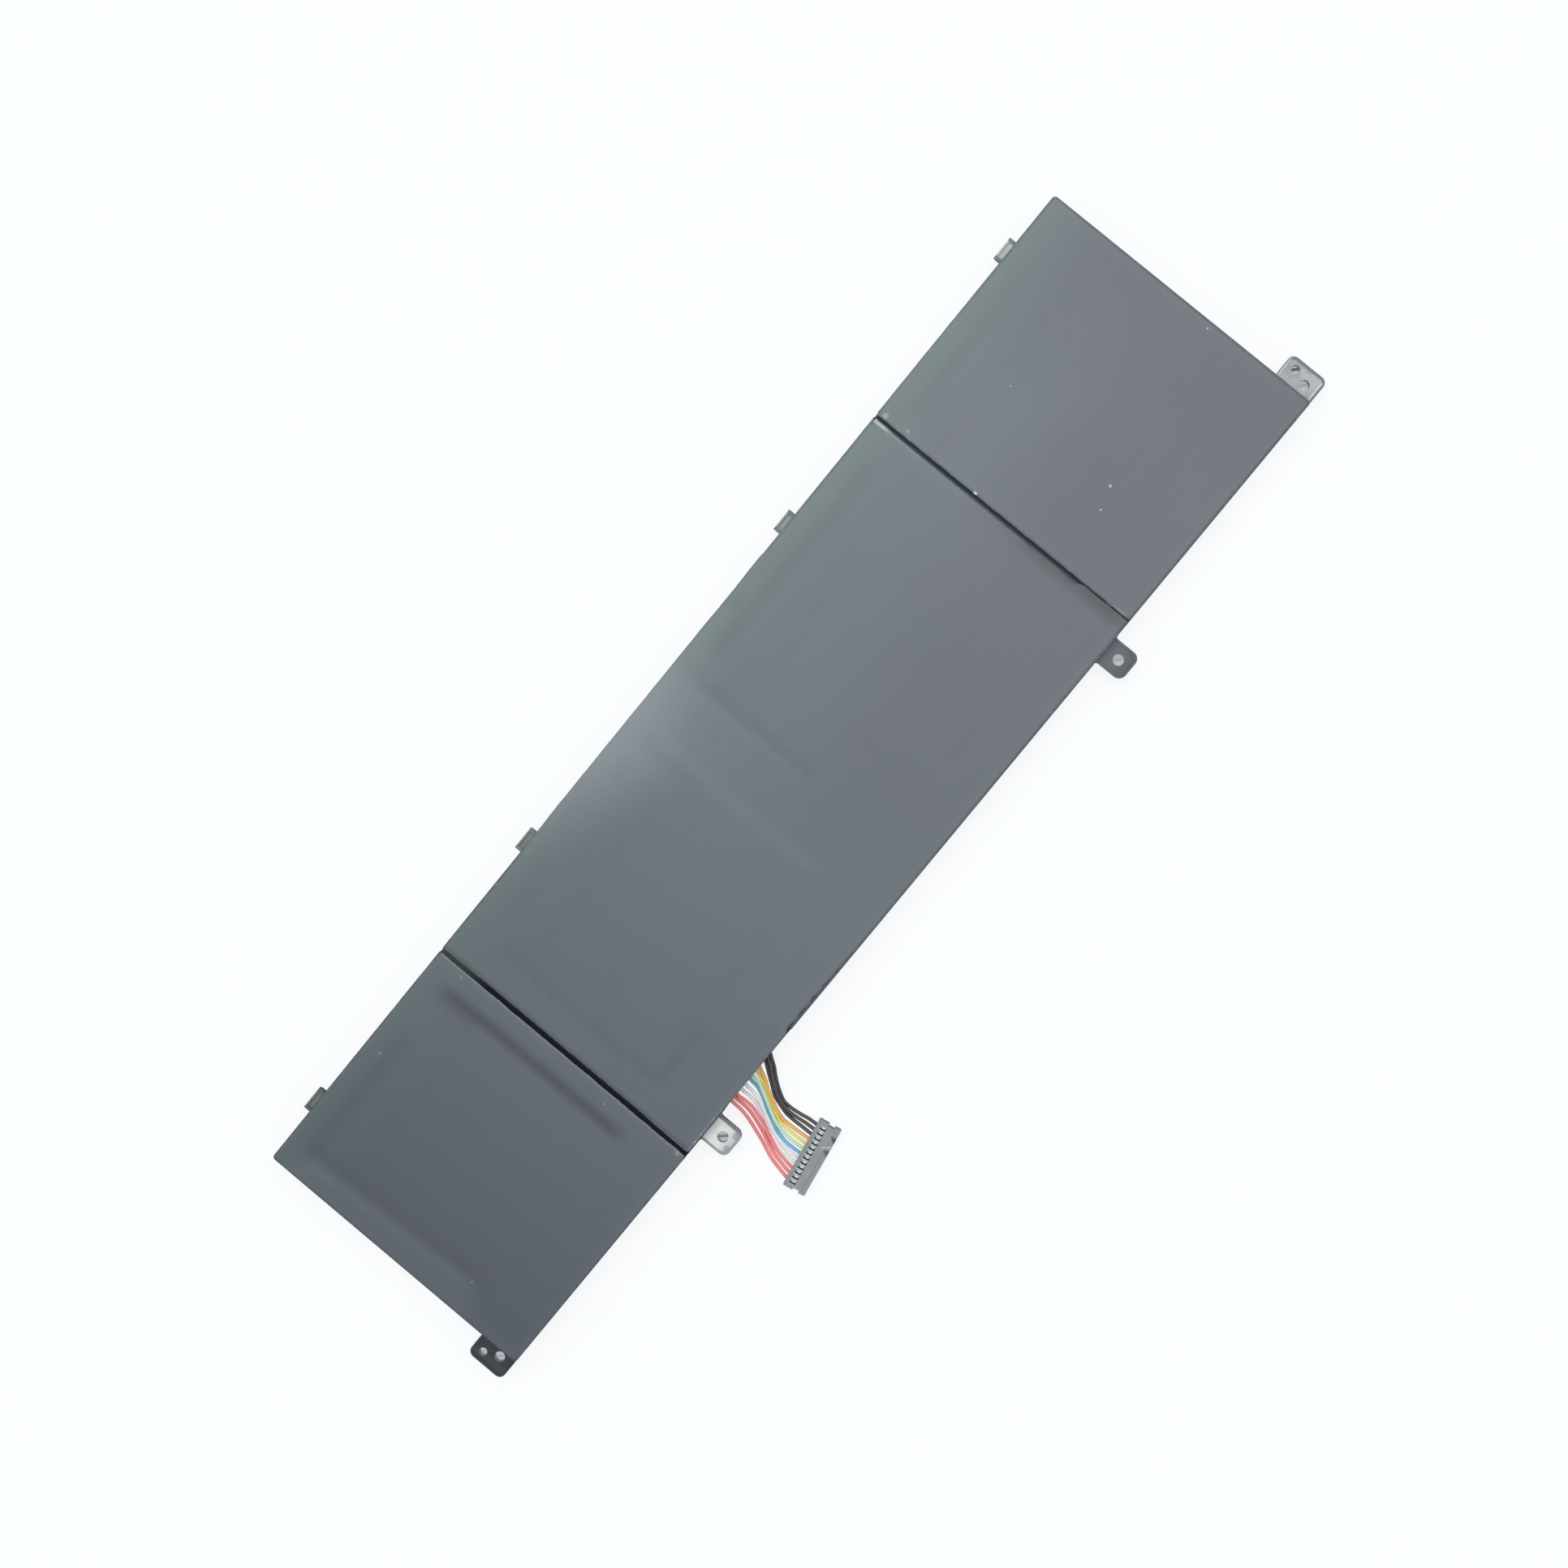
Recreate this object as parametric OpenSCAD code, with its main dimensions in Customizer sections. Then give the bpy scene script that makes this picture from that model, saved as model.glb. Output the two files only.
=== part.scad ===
// Flat notebook battery pack: a moulded frame that holds four pouch cells side by side, a protection
// board along one long edge, cover films in three panels on each face, and a twelve-wire lead with a plug.
// Millimetres. +Z is up towards the front films, +X runs along the pack, +Y points to the hooked edge.
// The origin is the centre of the body on its underside.

/* [Body] */
// Length of the body without its end lugs
body_len = 245.4; // [243:0.2:248]
// Width of the body without its hooks and side lugs
body_wid = 63.8; // [63.4:0.2:64.6]
// Thickness over both cover films
body_thk = 8; // [7.8:0.1:8.6]
// Thickness of a cover film
film_thk = 0.2; // [0.1:0.05:0.3]
// Wall thickness of the moulded frame
wall = 1.2; // [1:0.1:1.4]
// Radius of the frame's upright corners
corner_r = 0.8; // [0.4:0.1:1.1]
// Gap between a film's edge and the edge of the frame
film_inset = 0.2; // [0.1:0.05:0.4]

/* [Seams] */
// Distance of each seam from the middle of the pack
seam_x = 68.2; // [67.8:0.1:68.6]
// Width of the double rib under a seam
seam_rib = 3.4; // [3:0.1:3.8]
// Width of the groove that shows between two films
seam_gap = 1; // [0.8:0.1:1.2]
// Depth of that groove in the rib
seam_depth = 1.4; // [1:0.1:2]

/* [Lugs and hooks] */
// Thickness of the lugs
lug_thk = 2.2; // [1.8:0.1:2.4]
// Height of the lugs' upper faces
lug_top = 5; // [4.6:0.1:5.4]
// Distance of each side lug from the middle of the pack
side_lug_x = 61.3; // [61:0.1:61.6]
// Width of a side lug
side_lug_w = 6.1; // [5.8:0.1:6.6]
// How far a side lug reaches out
side_lug_reach = 6.2; // [5.8:0.1:6.6]
// Corner radius of the side lugs
side_lug_r = 1.6; // [1:0.1:1.8]
// Distance of a side lug's screw hole from the edge of the body
side_hole_out = 3.2; // [3:0.1:3.6]
// Radius of a side lug's screw hole
side_hole_r = 1.15; // [1:0.05:1.3]
// How far an end lug reaches out
end_lug_reach = 5.5; // [5.3:0.1:5.8]
// Width of an end lug
end_lug_w = 8.7; // [8.5:0.1:9.2]
// Corner radius of the end lugs
end_lug_r = 1.4; // [1:0.1:1.8]
// Distance of an end lug's screw hole from the end of the body
end_hole_out = 2.1; // [2:0.1:2.5]
// Distance of an end lug's locating hole from the end of the body
peg_hole_out = 3.5; // [3.2:0.1:3.6]
// Radius of an end lug's screw hole
end_hole_r = 1.1; // [0.9:0.05:1.2]
// Radius of an end lug's locating hole
peg_hole_r = 0.85; // [0.7:0.05:0.95]
// Distance of the outer hooks from the middle of the pack
outer_hook_x = 108.9; // [107.5:0.1:109.5]
// Distance of the inner hooks from the middle of the pack
inner_hook_x = 40.8; // [39.5:0.1:42]
// Width of a hook
hook_w = 5; // [4.6:0.1:5.4]
// How far a hook reaches out
hook_reach = 1.8; // [1.4:0.1:2.2]

/* [Cells] */
// Width of a cell over its folded side seals
cell_w = 51; // [50.4:0.1:51]
// Length of a cell without its sealed terrace
cell_len = 46; // [45:0.5:46]
// Thickness of a cell
cell_thk = 7; // [6.4:0.1:7]
// Distance of each tab from the middle of its cell
tab_x = 18; // [17:0.5:18.5]
// Width of a tab
tab_w = 4; // [3:0.5:4.4]
// Thickness of a tab and of the nickel leads
tab_thk = 0.15; // [0.1:0.05:0.15]

/* [Lead and plug] */
// Diameter of a wire over its insulation
wire_d = 0.75; // [0.6:0.05:0.75]
// Spacing of the plug's contacts
plug_pitch = 1.12; // [1.1:0.01:1.14]
// Width of the plug
plug_w = 15.1; // [14.9:0.1:15.5]
// Length of the plug from its wire side to its mating side
plug_len = 4.9; // [4.8:0.1:5.2]
// Thickness of the plug
plug_thk = 2.6; // [2.6:0.1:3]
// Turn of the plug from the long axis of the pack, in degrees
plug_turn = 10; // [10:10]

/* [Hidden] */

$fn = 48;
// Overrun of a cut past the face that it opens
cut = 0.5;

half_len = body_len / 2;
half_wid = body_wid / 2;
// Lower and upper faces of the frame
frame_z0 = film_thk;
frame_z1 = body_thk - film_thk;

// Cell row: the hooked side of every window, the far side of the cells, and each cell's middle
window_y1 = half_wid - wall;
window_y0 = -19.2;
window_play = 0.3;
cell_z0 = 0.5;
cell_y1 = window_y1 - window_play;
cell_y0 = cell_y1 - cell_len;
window_w = cell_w + 2 * window_play;
end_cell_x = half_len - wall - window_w / 2;
cell_x = [-end_cell_x, -36.6, 29.4, end_cell_x];
cell_rib = 1;
fold_thk = 0.35;
fold_z0 = 1.2;
fold_h = 4.4;
cell_top_r = 2.2;
cell_base_r = 1.2;
terrace_len = 3;
terrace_w = 46;
terrace_z0 = 2.7;
terrace_thk = 0.6;
terrace_y = cell_y0 - terrace_len;

// Board bay along the edge that carries the side lugs
bay_y1 = window_y0 - cell_rib;
bay_y0 = -half_wid + wall;
floor_z = 1.2;
rib_top = 7.4;
tape_ledge = 0.5;
exit_x0 = -56.6;
exit_x1 = -35.5;
board_half = 64.9;
board_y0 = bay_y0 + 0.3;
board_y1 = bay_y1 - 0.3;
board_z = 2;
board_thk = 0.8;
board_top = board_z + board_thk;
pad_thk = 0.1;
pad_top = board_top + pad_thk;
peg_x = 58.5;
peg_y = -28.9;
peg_r = 0.6;
peg_play = 0.05;
peg_boss_r = 1.4;
peg_top = 3.4;
support_x = [-45, -15, 15, 45];
support_w = 1;

// Nickel leads from the end cells: the short one beside the cells, the long one beside the outer wall
short_y0 = -23.4;
short_y1 = -20.6;
long_y0 = -28.9;
long_y1 = -25.9;
lead_end_x = 61.5;
lead_foot = 5;
lead_play = 0.2;

// Tabs: those of the end cells lie on the leads, those of the middle cells on the board's pads
tab_gap = 0.5;
end_tab_z = pad_top + tab_thk;
end_tab_y0 = -22.9;
mid_tab_y0 = -23.9;

// Channels beside the middle cells, each from one rib to the next
left_channel = [-seam_x + seam_rib / 2, cell_x[1] - window_w / 2 - cell_rib];
mid_channel = [cell_x[1] + window_w / 2 + cell_rib, cell_x[2] - window_w / 2 - cell_rib];
right_channel = [cell_x[2] + window_w / 2 + cell_rib, seam_x - seam_rib / 2];
brace_y = [-8, 6, 20];
brace_top = 5;

// Lugs and hooks
lug_z0 = lug_top - lug_thk;
lug_root_r = 0.6;
lug_lip = 0.25;
end_hole_y = -28.8;
peg_hole_y = -25.6;
hook_z0 = 3;
hook_z1 = 5;
hook_cheek = 0.7;
hook_dish = 0.5;

// Plug, in its own frame: x from the red end to the black end, y from the mating side to the wire side
plug_at = [-53.5, -51.45, 0];
plug_bar = 0.9;
plug_window_len = 1.3;
plug_window_w = 0.72;
plug_cavity_w = 0.8;
plug_cavity_z = [0.6, 2];
plug_notch = [0.45, 1.3];
plug_bore_r = 0.42;
plug_edge = 0.25;
plug_ramp_x = [2.2, 5.2];
plug_ramp = [0.9, 1.1, 0.25];
wire_z = 1.3;
wire_grip = 0.9;
ways = 12;
contact_x = 0.1;
contact_w = 0.44;
contact_wall = 0.12;
contact_mouth = 0.5;
contact_box_h = 1;
crimp_len = 0.4;
plug_half = plug_len / 2;
window_row_y1 = plug_half - plug_bar;
window_row_y0 = window_row_y1 - plug_window_len;

// Every wire passes the same places across the pack at the same heights, from its pad on the board to the
// last place before the plug. Six wires have their places along the pack written down, one list for each
// entry of key_wires, and the other six lie evenly between them.
route_y = [-22.6, -24.5, -26.8, -29.2, -31.9, -34, -36, -38, -40, -42, -44, -46];
route_z = [3.3, 3.5, 3.7, 3.6, 3.4, 3, 2.4, 1.7, 1.1, 0.7, 0.6, 0.8];
key_wires = [0, 2, 3, 6, 9, 11];
key_x = [
    [-34.9, -36.4, -38.3, -40.3, -42.6, -44.1, -45.9, -47.4, -48.5, -48.7, -48.5, -48.1],
    [-37.2, -38.6, -40.3, -42.2, -44.2, -45.8, -47.3, -48.8, -49.6, -50.2, -50.3, -50.2],
    [-38.4, -39.9, -41.9, -44.1, -45.9, -47, -48.4, -49.6, -50.7, -51.4, -51.5, -51.4],
    [-41.9, -43.3, -45.4, -47.4, -49, -49.4, -50.3, -51.5, -52.7, -53.8, -54.4, -54.7],
    [-45.4, -46.9, -49.2, -51.5, -53, -53, -53.2, -53.9, -54.7, -55.8, -56.7, -57.3],
    [-47.7, -49.3, -51.6, -53.5, -54.7, -54.9, -55.3, -56, -56.8, -57.6, -58.5, -59.2]];
last_index = ways - 1;
tube_sides = 8;
// Every second wire rides up over its neighbours where the ribbon draws together
bunch_lift = 0.66;
bunch_start = 1;
bunch_span = 11;

// Sheet rectangle from corner to corner with round corners
module round_rect(x0, y0, x1, y1, r) {
    translate([x0 + r, y0]) square([x1 - x0 - 2 * r, y1 - y0]);
    translate([x0, y0 + r]) square([x1 - x0, y1 - y0 - 2 * r]);
    for (x = [x0 + r, x1 - r], y = [y0 + r, y1 - r]) {
        translate([x, y]) circle(r);
    }
}

// Upright plate on a rounded rectangle between two heights
module plate(x0, y0, x1, y1, r, z0, z1) {
    translate([0, 0, z0]) linear_extrude(z1 - z0) round_rect(x0, y0, x1, y1, r);
}

// Square-cornered block between two corners
module block(low, high) {
    translate(low) cube(high - low);
}

// Concave fillet that fills the corner at the origin, towards +x and +y
module root_fillet(r) {
    difference() {
        square(r);
        translate([r, r]) circle(r);
    }
}

// Both sides of the pack: the children and their mirror image
module both_ends() {
    children();
    mirror([1, 0, 0]) children();
}

// Outline of a side lug, which grows out of the edge at y = 0 towards -y
module side_lug_outline(grow) {
    half = side_lug_w / 2 + grow;
    round_rect(-half, -side_lug_reach - grow, half, side_lug_r + wall, side_lug_r);
}

// Side lug with root fillets and a low rim around its upper face
module side_lug() {
    translate([side_lug_x, -half_wid, lug_z0]) {
        difference() {
            linear_extrude(lug_thk) side_lug_outline(0);
            translate([0, 0, lug_thk - lug_lip]) linear_extrude(lug_lip + cut) side_lug_outline(-0.5);
            translate([-side_lug_w, wall / 2, -cut]) cube([2 * side_lug_w, wall + side_lug_r, lug_thk + 2 * cut]);
        }
        for (side = [-1, 1]) {
            translate([side * side_lug_w / 2, 0, 0]) scale([side, -1, 1])
                linear_extrude(lug_thk) root_fillet(lug_root_r);
        }
    }
}

// End lug, flush with the lugged edge, with a low rim around its upper face
module end_lug() {
    low_y = -half_wid;
    high_y = low_y + end_lug_w;
    out_x = half_len + end_lug_reach;
    rim = 0.5;
    difference() {
        plate(half_len - 2 * end_lug_r, low_y, out_x, high_y, end_lug_r, lug_z0, lug_top);
        plate(half_len, low_y + rim, out_x - rim, high_y - rim, end_lug_r - rim, lug_top - lug_lip,
            lug_top + cut);
        block([0, low_y - cut, 0], [half_len, high_y + cut, body_thk]);
    }
    block([half_len - wall, low_y + corner_r, lug_z0], [half_len + wall, high_y - end_lug_r, lug_top - lug_lip]);
    block([half_len - corner_r, low_y, lug_z0], [half_len + wall, low_y + corner_r, lug_top]);
}

// Hook: a short tab between two cheeks, dished on top
module hook(x) {
    out_y = half_wid + hook_reach;
    chamfer = 0.4;
    difference() {
        translate([x - hook_w / 2, 0, 0]) rotate([90, 0, 90]) linear_extrude(hook_w)
            polygon([[half_wid - wall / 2, hook_z0], [out_y - chamfer, hook_z0], [out_y, hook_z0 + chamfer],
                [out_y, hook_z1 - chamfer / 2], [out_y - chamfer / 2, hook_z1], [half_wid - wall / 2, hook_z1]]);
        block([x - hook_w / 2 + hook_cheek, half_wid, hook_z1 - hook_dish],
            [x + hook_w / 2 - hook_cheek, out_y - chamfer, hook_z1 + cut]);
    }
}

// One window through the frame for a cell
module cell_window(x) {
    block([x - window_w / 2, window_y0, 0], [x + window_w / 2, window_y1, body_thk]);
}

// Closed channel beside a cell, open upwards, with braces across it when it is wide
module channel(span) {
    narrow = 6;
    difference() {
        block([span[0], window_y0, floor_z], [span[1], window_y1, body_thk]);
        if (span[1] - span[0] > narrow) {
            for (y = brace_y) {
                block([span[0] - cut, y - cell_rib / 2, 0], [span[1] + cut, y + cell_rib / 2, brace_top]);
            }
        }
    }
}

// Slots in the rib beside the cells, where the tabs of one cell pass
module tab_slots(x) {
    for (side = [-1, 1]) {
        block([x + side * tab_x - tab_w / 2 - tab_gap, bay_y1 - cut, terrace_z0 - lead_play],
            [x + side * tab_x + tab_w / 2 + tab_gap, window_y0 + cut, body_thk]);
    }
}

// Windows through a seam rib where the two leads pass
module lead_windows() {
    x0 = seam_x - seam_rib / 2 - cut;
    x1 = seam_x + seam_rib / 2 + cut;
    z0 = pad_top - lead_play;
    z1 = pad_top + tab_thk + lead_play;
    block([x0, short_y0 - lead_play, z0], [x1, short_y1 + lead_play, z1]);
    block([x0, long_y0 - lead_play, z0], [x1, long_y1 + lead_play, z1]);
}

// Rails in an end bay that carry the two leads
module lead_rails() {
    near_end = seam_x + seam_rib / 2;
    short_mid = (short_y0 + short_y1) / 2;
    long_mid = (long_y0 + long_y1) / 2;
    tab_at = end_cell_x + tab_x;
    block([near_end, short_mid - 0.5, frame_z0], [end_cell_x - tab_x + tab_w / 2, short_mid + 0.5, pad_top]);
    block([near_end, long_mid - 0.5, frame_z0], [tab_at, long_mid + 0.5, pad_top]);
    block([tab_at - 0.5, bay_y0, frame_z0], [tab_at + 0.5, bay_y1, pad_top]);
}

// Small bosses and pegs that seat the board
module board_seats() {
    for (x = support_x) {
        block([x - support_w / 2, bay_y0, frame_z0], [x + support_w / 2, bay_y1, board_z]);
    }
    both_ends() translate([peg_x, peg_y, frame_z0]) {
        cylinder(h = board_z - frame_z0, r = peg_boss_r);
        cylinder(h = peg_top - frame_z0, r = peg_r);
    }
}

// Through holes of the lugs at one end of the pack
module lug_holes() {
    depth = lug_thk + 2 * cut;
    translate([side_lug_x, -half_wid - side_hole_out, lug_z0 - cut]) cylinder(h = depth, r = side_hole_r);
    translate([half_len + end_hole_out, end_hole_y, lug_z0 - cut]) cylinder(h = depth, r = end_hole_r);
    translate([half_len + peg_hole_out, peg_hole_y, lug_z0 - cut]) cylinder(h = depth, r = peg_hole_r);
}

module frame() {
    color([0.17, 0.18, 0.2]) difference() {
        union() {
            difference() {
                plate(-half_len, -half_wid, half_len, half_wid, corner_r, frame_z0, frame_z1);
                for (x = cell_x) {
                    cell_window(x);
                }
                channel(left_channel);
                channel(mid_channel);
                channel(right_channel);
                block([-half_len + wall, bay_y0, floor_z], [half_len - wall, bay_y1, body_thk]);
            }
            both_ends() {
                block([seam_x - seam_rib / 2, -half_wid + wall / 2, frame_z0],
                    [seam_x + seam_rib / 2, window_y0 + cut, frame_z1]);
                lead_rails();
                side_lug();
                end_lug();
                hook(outer_hook_x);
                hook(inner_hook_x);
            }
            board_seats();
        }
        both_ends() {
            block([seam_x - seam_gap / 2, -half_wid - cut, frame_z1 - seam_depth],
                [seam_x + seam_gap / 2, half_wid + cut, body_thk]);
            lead_windows();
            lug_holes();
        }
        for (x = cell_x) {
            tab_slots(x);
        }
        block([-seam_x + seam_rib / 2, bay_y0 - tape_ledge, rib_top],
            [seam_x - seam_rib / 2, window_y0 + cut, body_thk]);
        block([exit_x0, -half_wid - cut, floor_z], [exit_x1, bay_y0 + cut, body_thk]);
    }
}

// Pouch cell: a drawn cup with round edges, side seals folded up, and a sealed terrace for the tabs
module cell(i) {
    x = cell_x[i - 1];
    half = cell_w / 2 - fold_thk;
    z1 = cell_z0 + cell_thk;
    color([0.72, 0.73, 0.75]) {
        intersection() {
            translate([0, cell_y1, 0]) rotate([90, 0, 0]) linear_extrude(cell_len) {
                round_rect(x - half, cell_z0, x + half, z1 - cell_top_r, cell_base_r);
                round_rect(x - half, cell_z0 + cell_base_r, x + half, z1, cell_top_r);
            }
            translate([x - half, 0, 0]) rotate([90, 0, 90]) linear_extrude(2 * half) {
                round_rect(cell_y0, cell_z0, cell_y1, z1 - cell_top_r, cell_base_r);
                round_rect(cell_y0, cell_z0 + cell_base_r, cell_y1, z1, cell_top_r);
            }
        }
        for (side = [-1, 1]) {
            inner = x + side * half;
            outer = x + side * (half + fold_thk);
            block([min(inner, outer), cell_y0 + cell_top_r, fold_z0],
                [max(inner, outer), cell_y1 - cell_top_r, fold_z0 + fold_h]);
        }
        block([x - terrace_w / 2, terrace_y, terrace_z0],
            [x + terrace_w / 2, cell_y0 + cell_base_r, terrace_z0 + terrace_thk]);
    }
}

// Tab on one side of a cell, from the terrace onto a lead or a board pad
module tab(i, side, tint) {
    x = cell_x[i - 1] + side * tab_x;
    is_end = i == 1 || i == 4;
    z0 = is_end ? end_tab_z : pad_top;
    y0 = is_end ? end_tab_y0 : mid_tab_y0;
    // On an end cell the outer tab lands on the foot of the long lead, the inner tab on the short lead
    color(tint) block([x - tab_w / 2, y0, z0], [x + tab_w / 2, terrace_y, z0 + tab_thk]);
}

module positive_tab(i) {
    tab(i, -1, [0.82, 0.83, 0.85]);
}

module negative_tab(i) {
    tab(i, 1, [0.75, 0.72, 0.66]);
}

// Double-sided adhesive pad between the rear film and a cell
module cell_pad(i) {
    x = cell_x[i - 1];
    pad = [38, 30];
    mid_y = (cell_y0 + cell_y1) / 2;
    color([0.85, 0.85, 0.82]) block([x - pad[0] / 2, mid_y - pad[1] / 2, film_thk],
        [x + pad[0] / 2, mid_y + pad[1] / 2, cell_z0]);
}

// Leads of the right end cell; the left ones are their mirror image
module short_lead() {
    color([0.78, 0.77, 0.74]) block([lead_end_x, short_y0, pad_top],
        [end_cell_x - tab_x + lead_foot / 2, short_y1, pad_top + tab_thk]);
}

module long_lead() {
    foot_x = end_cell_x + tab_x;
    color([0.78, 0.77, 0.74]) {
        block([lead_end_x, long_y0, pad_top], [foot_x + lead_foot / 2, long_y1, pad_top + tab_thk]);
        block([foot_x - lead_foot / 2, long_y0, pad_top], [foot_x + lead_foot / 2, short_y1, pad_top + tab_thk]);
    }
}

// Protection board with two locating holes
module board() {
    color([0.1, 0.3, 0.2]) difference() {
        plate(-board_half, board_y0, board_half, board_y1, 0.5, board_z, board_top);
        both_ends() translate([peg_x, peg_y, board_z - cut])
            cylinder(h = board_thk + 2 * cut, r = peg_r + peg_play);
    }
}

// Pads on the board for the wires, for the tabs of the middle cells and for the nickel leads
module solder_pads() {
    wire_pad = [0.8, 1.8];
    tab_pad_y1 = board_y1 - 0.2;
    color([0.8, 0.65, 0.35]) {
        for (i = [0 : last_index]) {
            at = wire_route(i)[0];
            block([at[0] - wire_pad[0] / 2, at[1] - wire_pad[1] / 2, board_top],
                [at[0] + wire_pad[0] / 2, at[1] + wire_pad[1] / 2, pad_top]);
        }
        for (x = [cell_x[1], cell_x[2]], side = [-1, 1]) {
            block([x + side * tab_x - tab_w / 2 - 0.3, mid_tab_y0 - 0.3, board_top],
                [x + side * tab_x + tab_w / 2 + 0.3, tab_pad_y1, pad_top]);
        }
        both_ends() {
            block([lead_end_x - 0.3, short_y0 + 0.2, board_top], [board_half - 0.3, short_y1 - 0.3, pad_top]);
            block([lead_end_x - 0.3, long_y0 + 0.2, board_top], [board_half - 0.3, long_y1 - 0.2, pad_top]);
        }
    }
}

// Rectangular component that stands on the board, with rows of short legs on its long sides
module chip(at, size, legs, tint) {
    leg = [0.4, 0.7, 0.3];
    translate([at[0], at[1], board_top]) color(tint) {
        plate(-size[0] / 2, -size[1] / 2, size[0] / 2, size[1] / 2, 0.15, 0, size[2]);
        if (legs > 0) {
            step = size[0] / legs;
            for (k = [0 : legs - 1], side = [-1, 1]) {
                translate([(k + 0.5) * step - size[0] / 2 - leg[0] / 2, side * (size[1] / 2 + leg[1] / 2)
                    - leg[1] / 2, 0]) cube([leg[0], leg[1], leg[2]]);
            }
        }
    }
}

module controller_chip() {
    chip([0, -27], [8.6, 4.4, 1.1], 11, [0.12, 0.12, 0.13]);
}

module guard_chip() {
    chip([-12, -27.3], [3, 3, 0.9], 4, [0.12, 0.12, 0.13]);
}

module switch_left() {
    chip([21, -26.6], [5, 4.8, 1.1], 4, [0.12, 0.12, 0.13]);
}

module switch_right() {
    chip([29, -26.6], [5, 4.8, 1.1], 4, [0.12, 0.12, 0.13]);
}

module cutoff_fuse() {
    chip([38, -26.8], [5.4, 3.2, 1.4], 0, [0.85, 0.84, 0.8]);
}

module sense_resistor() {
    chip([54, -25.6], [3.2, 6.3, 0.7], 0, [0.2, 0.2, 0.22]);
}

module temperature_sensor() {
    chip([-3.6, -21.6], [2, 1.2, 0.9], 0, [0.25, 0.22, 0.2]);
}

// Two rows of small ceramic capacitors
module capacitors() {
    for (x = [-20, -17.5, 7.5, 10, 12.5, 44.5]) {
        chip([x, -27.8], [0.8, 1.6, 0.8], 0, [0.7, 0.6, 0.45]);
    }
    for (x = [-9, 2, 6, 20, 24, 28]) {
        chip([x, -22.4], [1.6, 0.8, 0.8], 0, [0.7, 0.6, 0.45]);
    }
}

// Insulating strip over the board, seated on the cell rib and on a ledge of the outer wall
module board_tape() {
    play = 0.1;
    half = seam_x - seam_rib / 2 - play;
    color([0.12, 0.12, 0.12]) block([-half, bay_y0 - tape_ledge + play, rib_top],
        [half, window_y0 - play, frame_z1]);
}

// One panel of cover film between two places along the pack
module film(x0, x1, z0) {
    y = half_wid - film_inset;
    film_r = 0.9;
    color([0.42, 0.44, 0.47]) plate(x0, -y, x1, y, film_r, z0, z0 + film_thk);
}

film_out = half_len - film_inset;
film_in = seam_x + seam_gap / 2;
film_mid = seam_x - seam_gap / 2;

module front_film_left() {
    film(-film_out, -film_in, frame_z1);
}

module front_film_middle() {
    film(-film_mid, film_mid, frame_z1);
}

module front_film_right() {
    film(film_in, film_out, frame_z1);
}

module rear_film_left() {
    film(-film_out, -film_in, 0);
}

module rear_film_middle() {
    film(-film_mid, film_mid, 0);
}

module rear_film_right() {
    film(film_in, film_out, 0);
}

// Place of a point of the plug's own frame in the pack's frame
function plug_point(x, y, z) = plug_at + [x * cos(plug_turn) - y * sin(plug_turn),
    x * sin(plug_turn) + y * cos(plug_turn), z];

// Place of one way across the plug, the first at the black end
function way_x(i) = (last_index / 2 - i) * plug_pitch;

// Lift of wire i at point k of its route
function bunch(i, k) = k > bunch_start ? (i % 2) * bunch_lift * sin(180 * (k - bunch_start) / bunch_span) : 0;

// Place in key_wires of the first key wire at or after wire i
function key_after(i) = [for (k = [1 : len(key_wires) - 1]) if (key_wires[k] >= i) k][0];

// Places of wire i along the pack, a share of the way between the two key wires beside it
function laid_x(i) = let (
    k = key_after(i),
    share = (i - key_wires[k - 1]) / (key_wires[k] - key_wires[k - 1]))
    key_x[k - 1] * (1 - share) + key_x[k] * share;

// Whole route of wire i, from its pad to its contact inside the plug
function wire_route(i) = let (x = laid_x(i)) concat(
    [for (k = [0 : len(route_y) - 1]) [x[k], route_y[k], route_z[k] + bunch(i, k)]],
    [plug_point(way_x(i), plug_half, wire_z), plug_point(way_x(i), plug_half - wire_grip, wire_z)]);

function unit(a) = a / norm(a);

// Direction of a route at point k
function heading(path, k) = unit(path[min(k + 1, len(path) - 1)] - path[max(k - 1, 0)]);

// Ring of points around point k of a route, upright across its direction
function ring(path, k) = let (
    ahead = heading(path, k),
    side = unit(cross(ahead, [0, 0, 1])),
    rise = cross(side, ahead))
    [for (n = [0 : tube_sides - 1])
        path[k] + wire_d / 2 * (cos(360 * n / tube_sides) * side + sin(360 * n / tube_sides) * rise)];

// Tube swept along a route with flat ends
module tube(path) {
    last = len(path) - 1;
    points = [for (k = [0 : last]) for (p = ring(path, k)) p];
    sides = [for (k = [0 : last - 1]) for (n = [0 : tube_sides - 1]) let (m = (n + 1) % tube_sides)
        [k * tube_sides + n, k * tube_sides + m, (k + 1) * tube_sides + m, (k + 1) * tube_sides + n]];
    start = [[for (n = [tube_sides - 1 : -1 : 0]) n]];
    finish = [[for (n = [0 : tube_sides - 1]) last * tube_sides + n]];
    polyhedron(points, concat(sides, start, finish));
}

module wire(i, tint) {
    color(tint) tube(wire_route(i));
}

// Cavity of one way: a round wire entry, a square chamber and a window above the contact
module plug_way() {
    chamber_y1 = window_row_y1 + 0.1;
    translate([0, plug_half + cut, wire_z]) rotate([90, 0, 0]) cylinder(h = plug_bar + 2 * cut, r = plug_bore_r);
    block([-plug_cavity_w / 2, -plug_half - cut, plug_cavity_z[0]],
        [plug_cavity_w / 2, chamber_y1, plug_cavity_z[1]]);
    block([-plug_window_w / 2, window_row_y0, wire_z], [plug_window_w / 2, window_row_y1, plug_thk + cut]);
}

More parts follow.
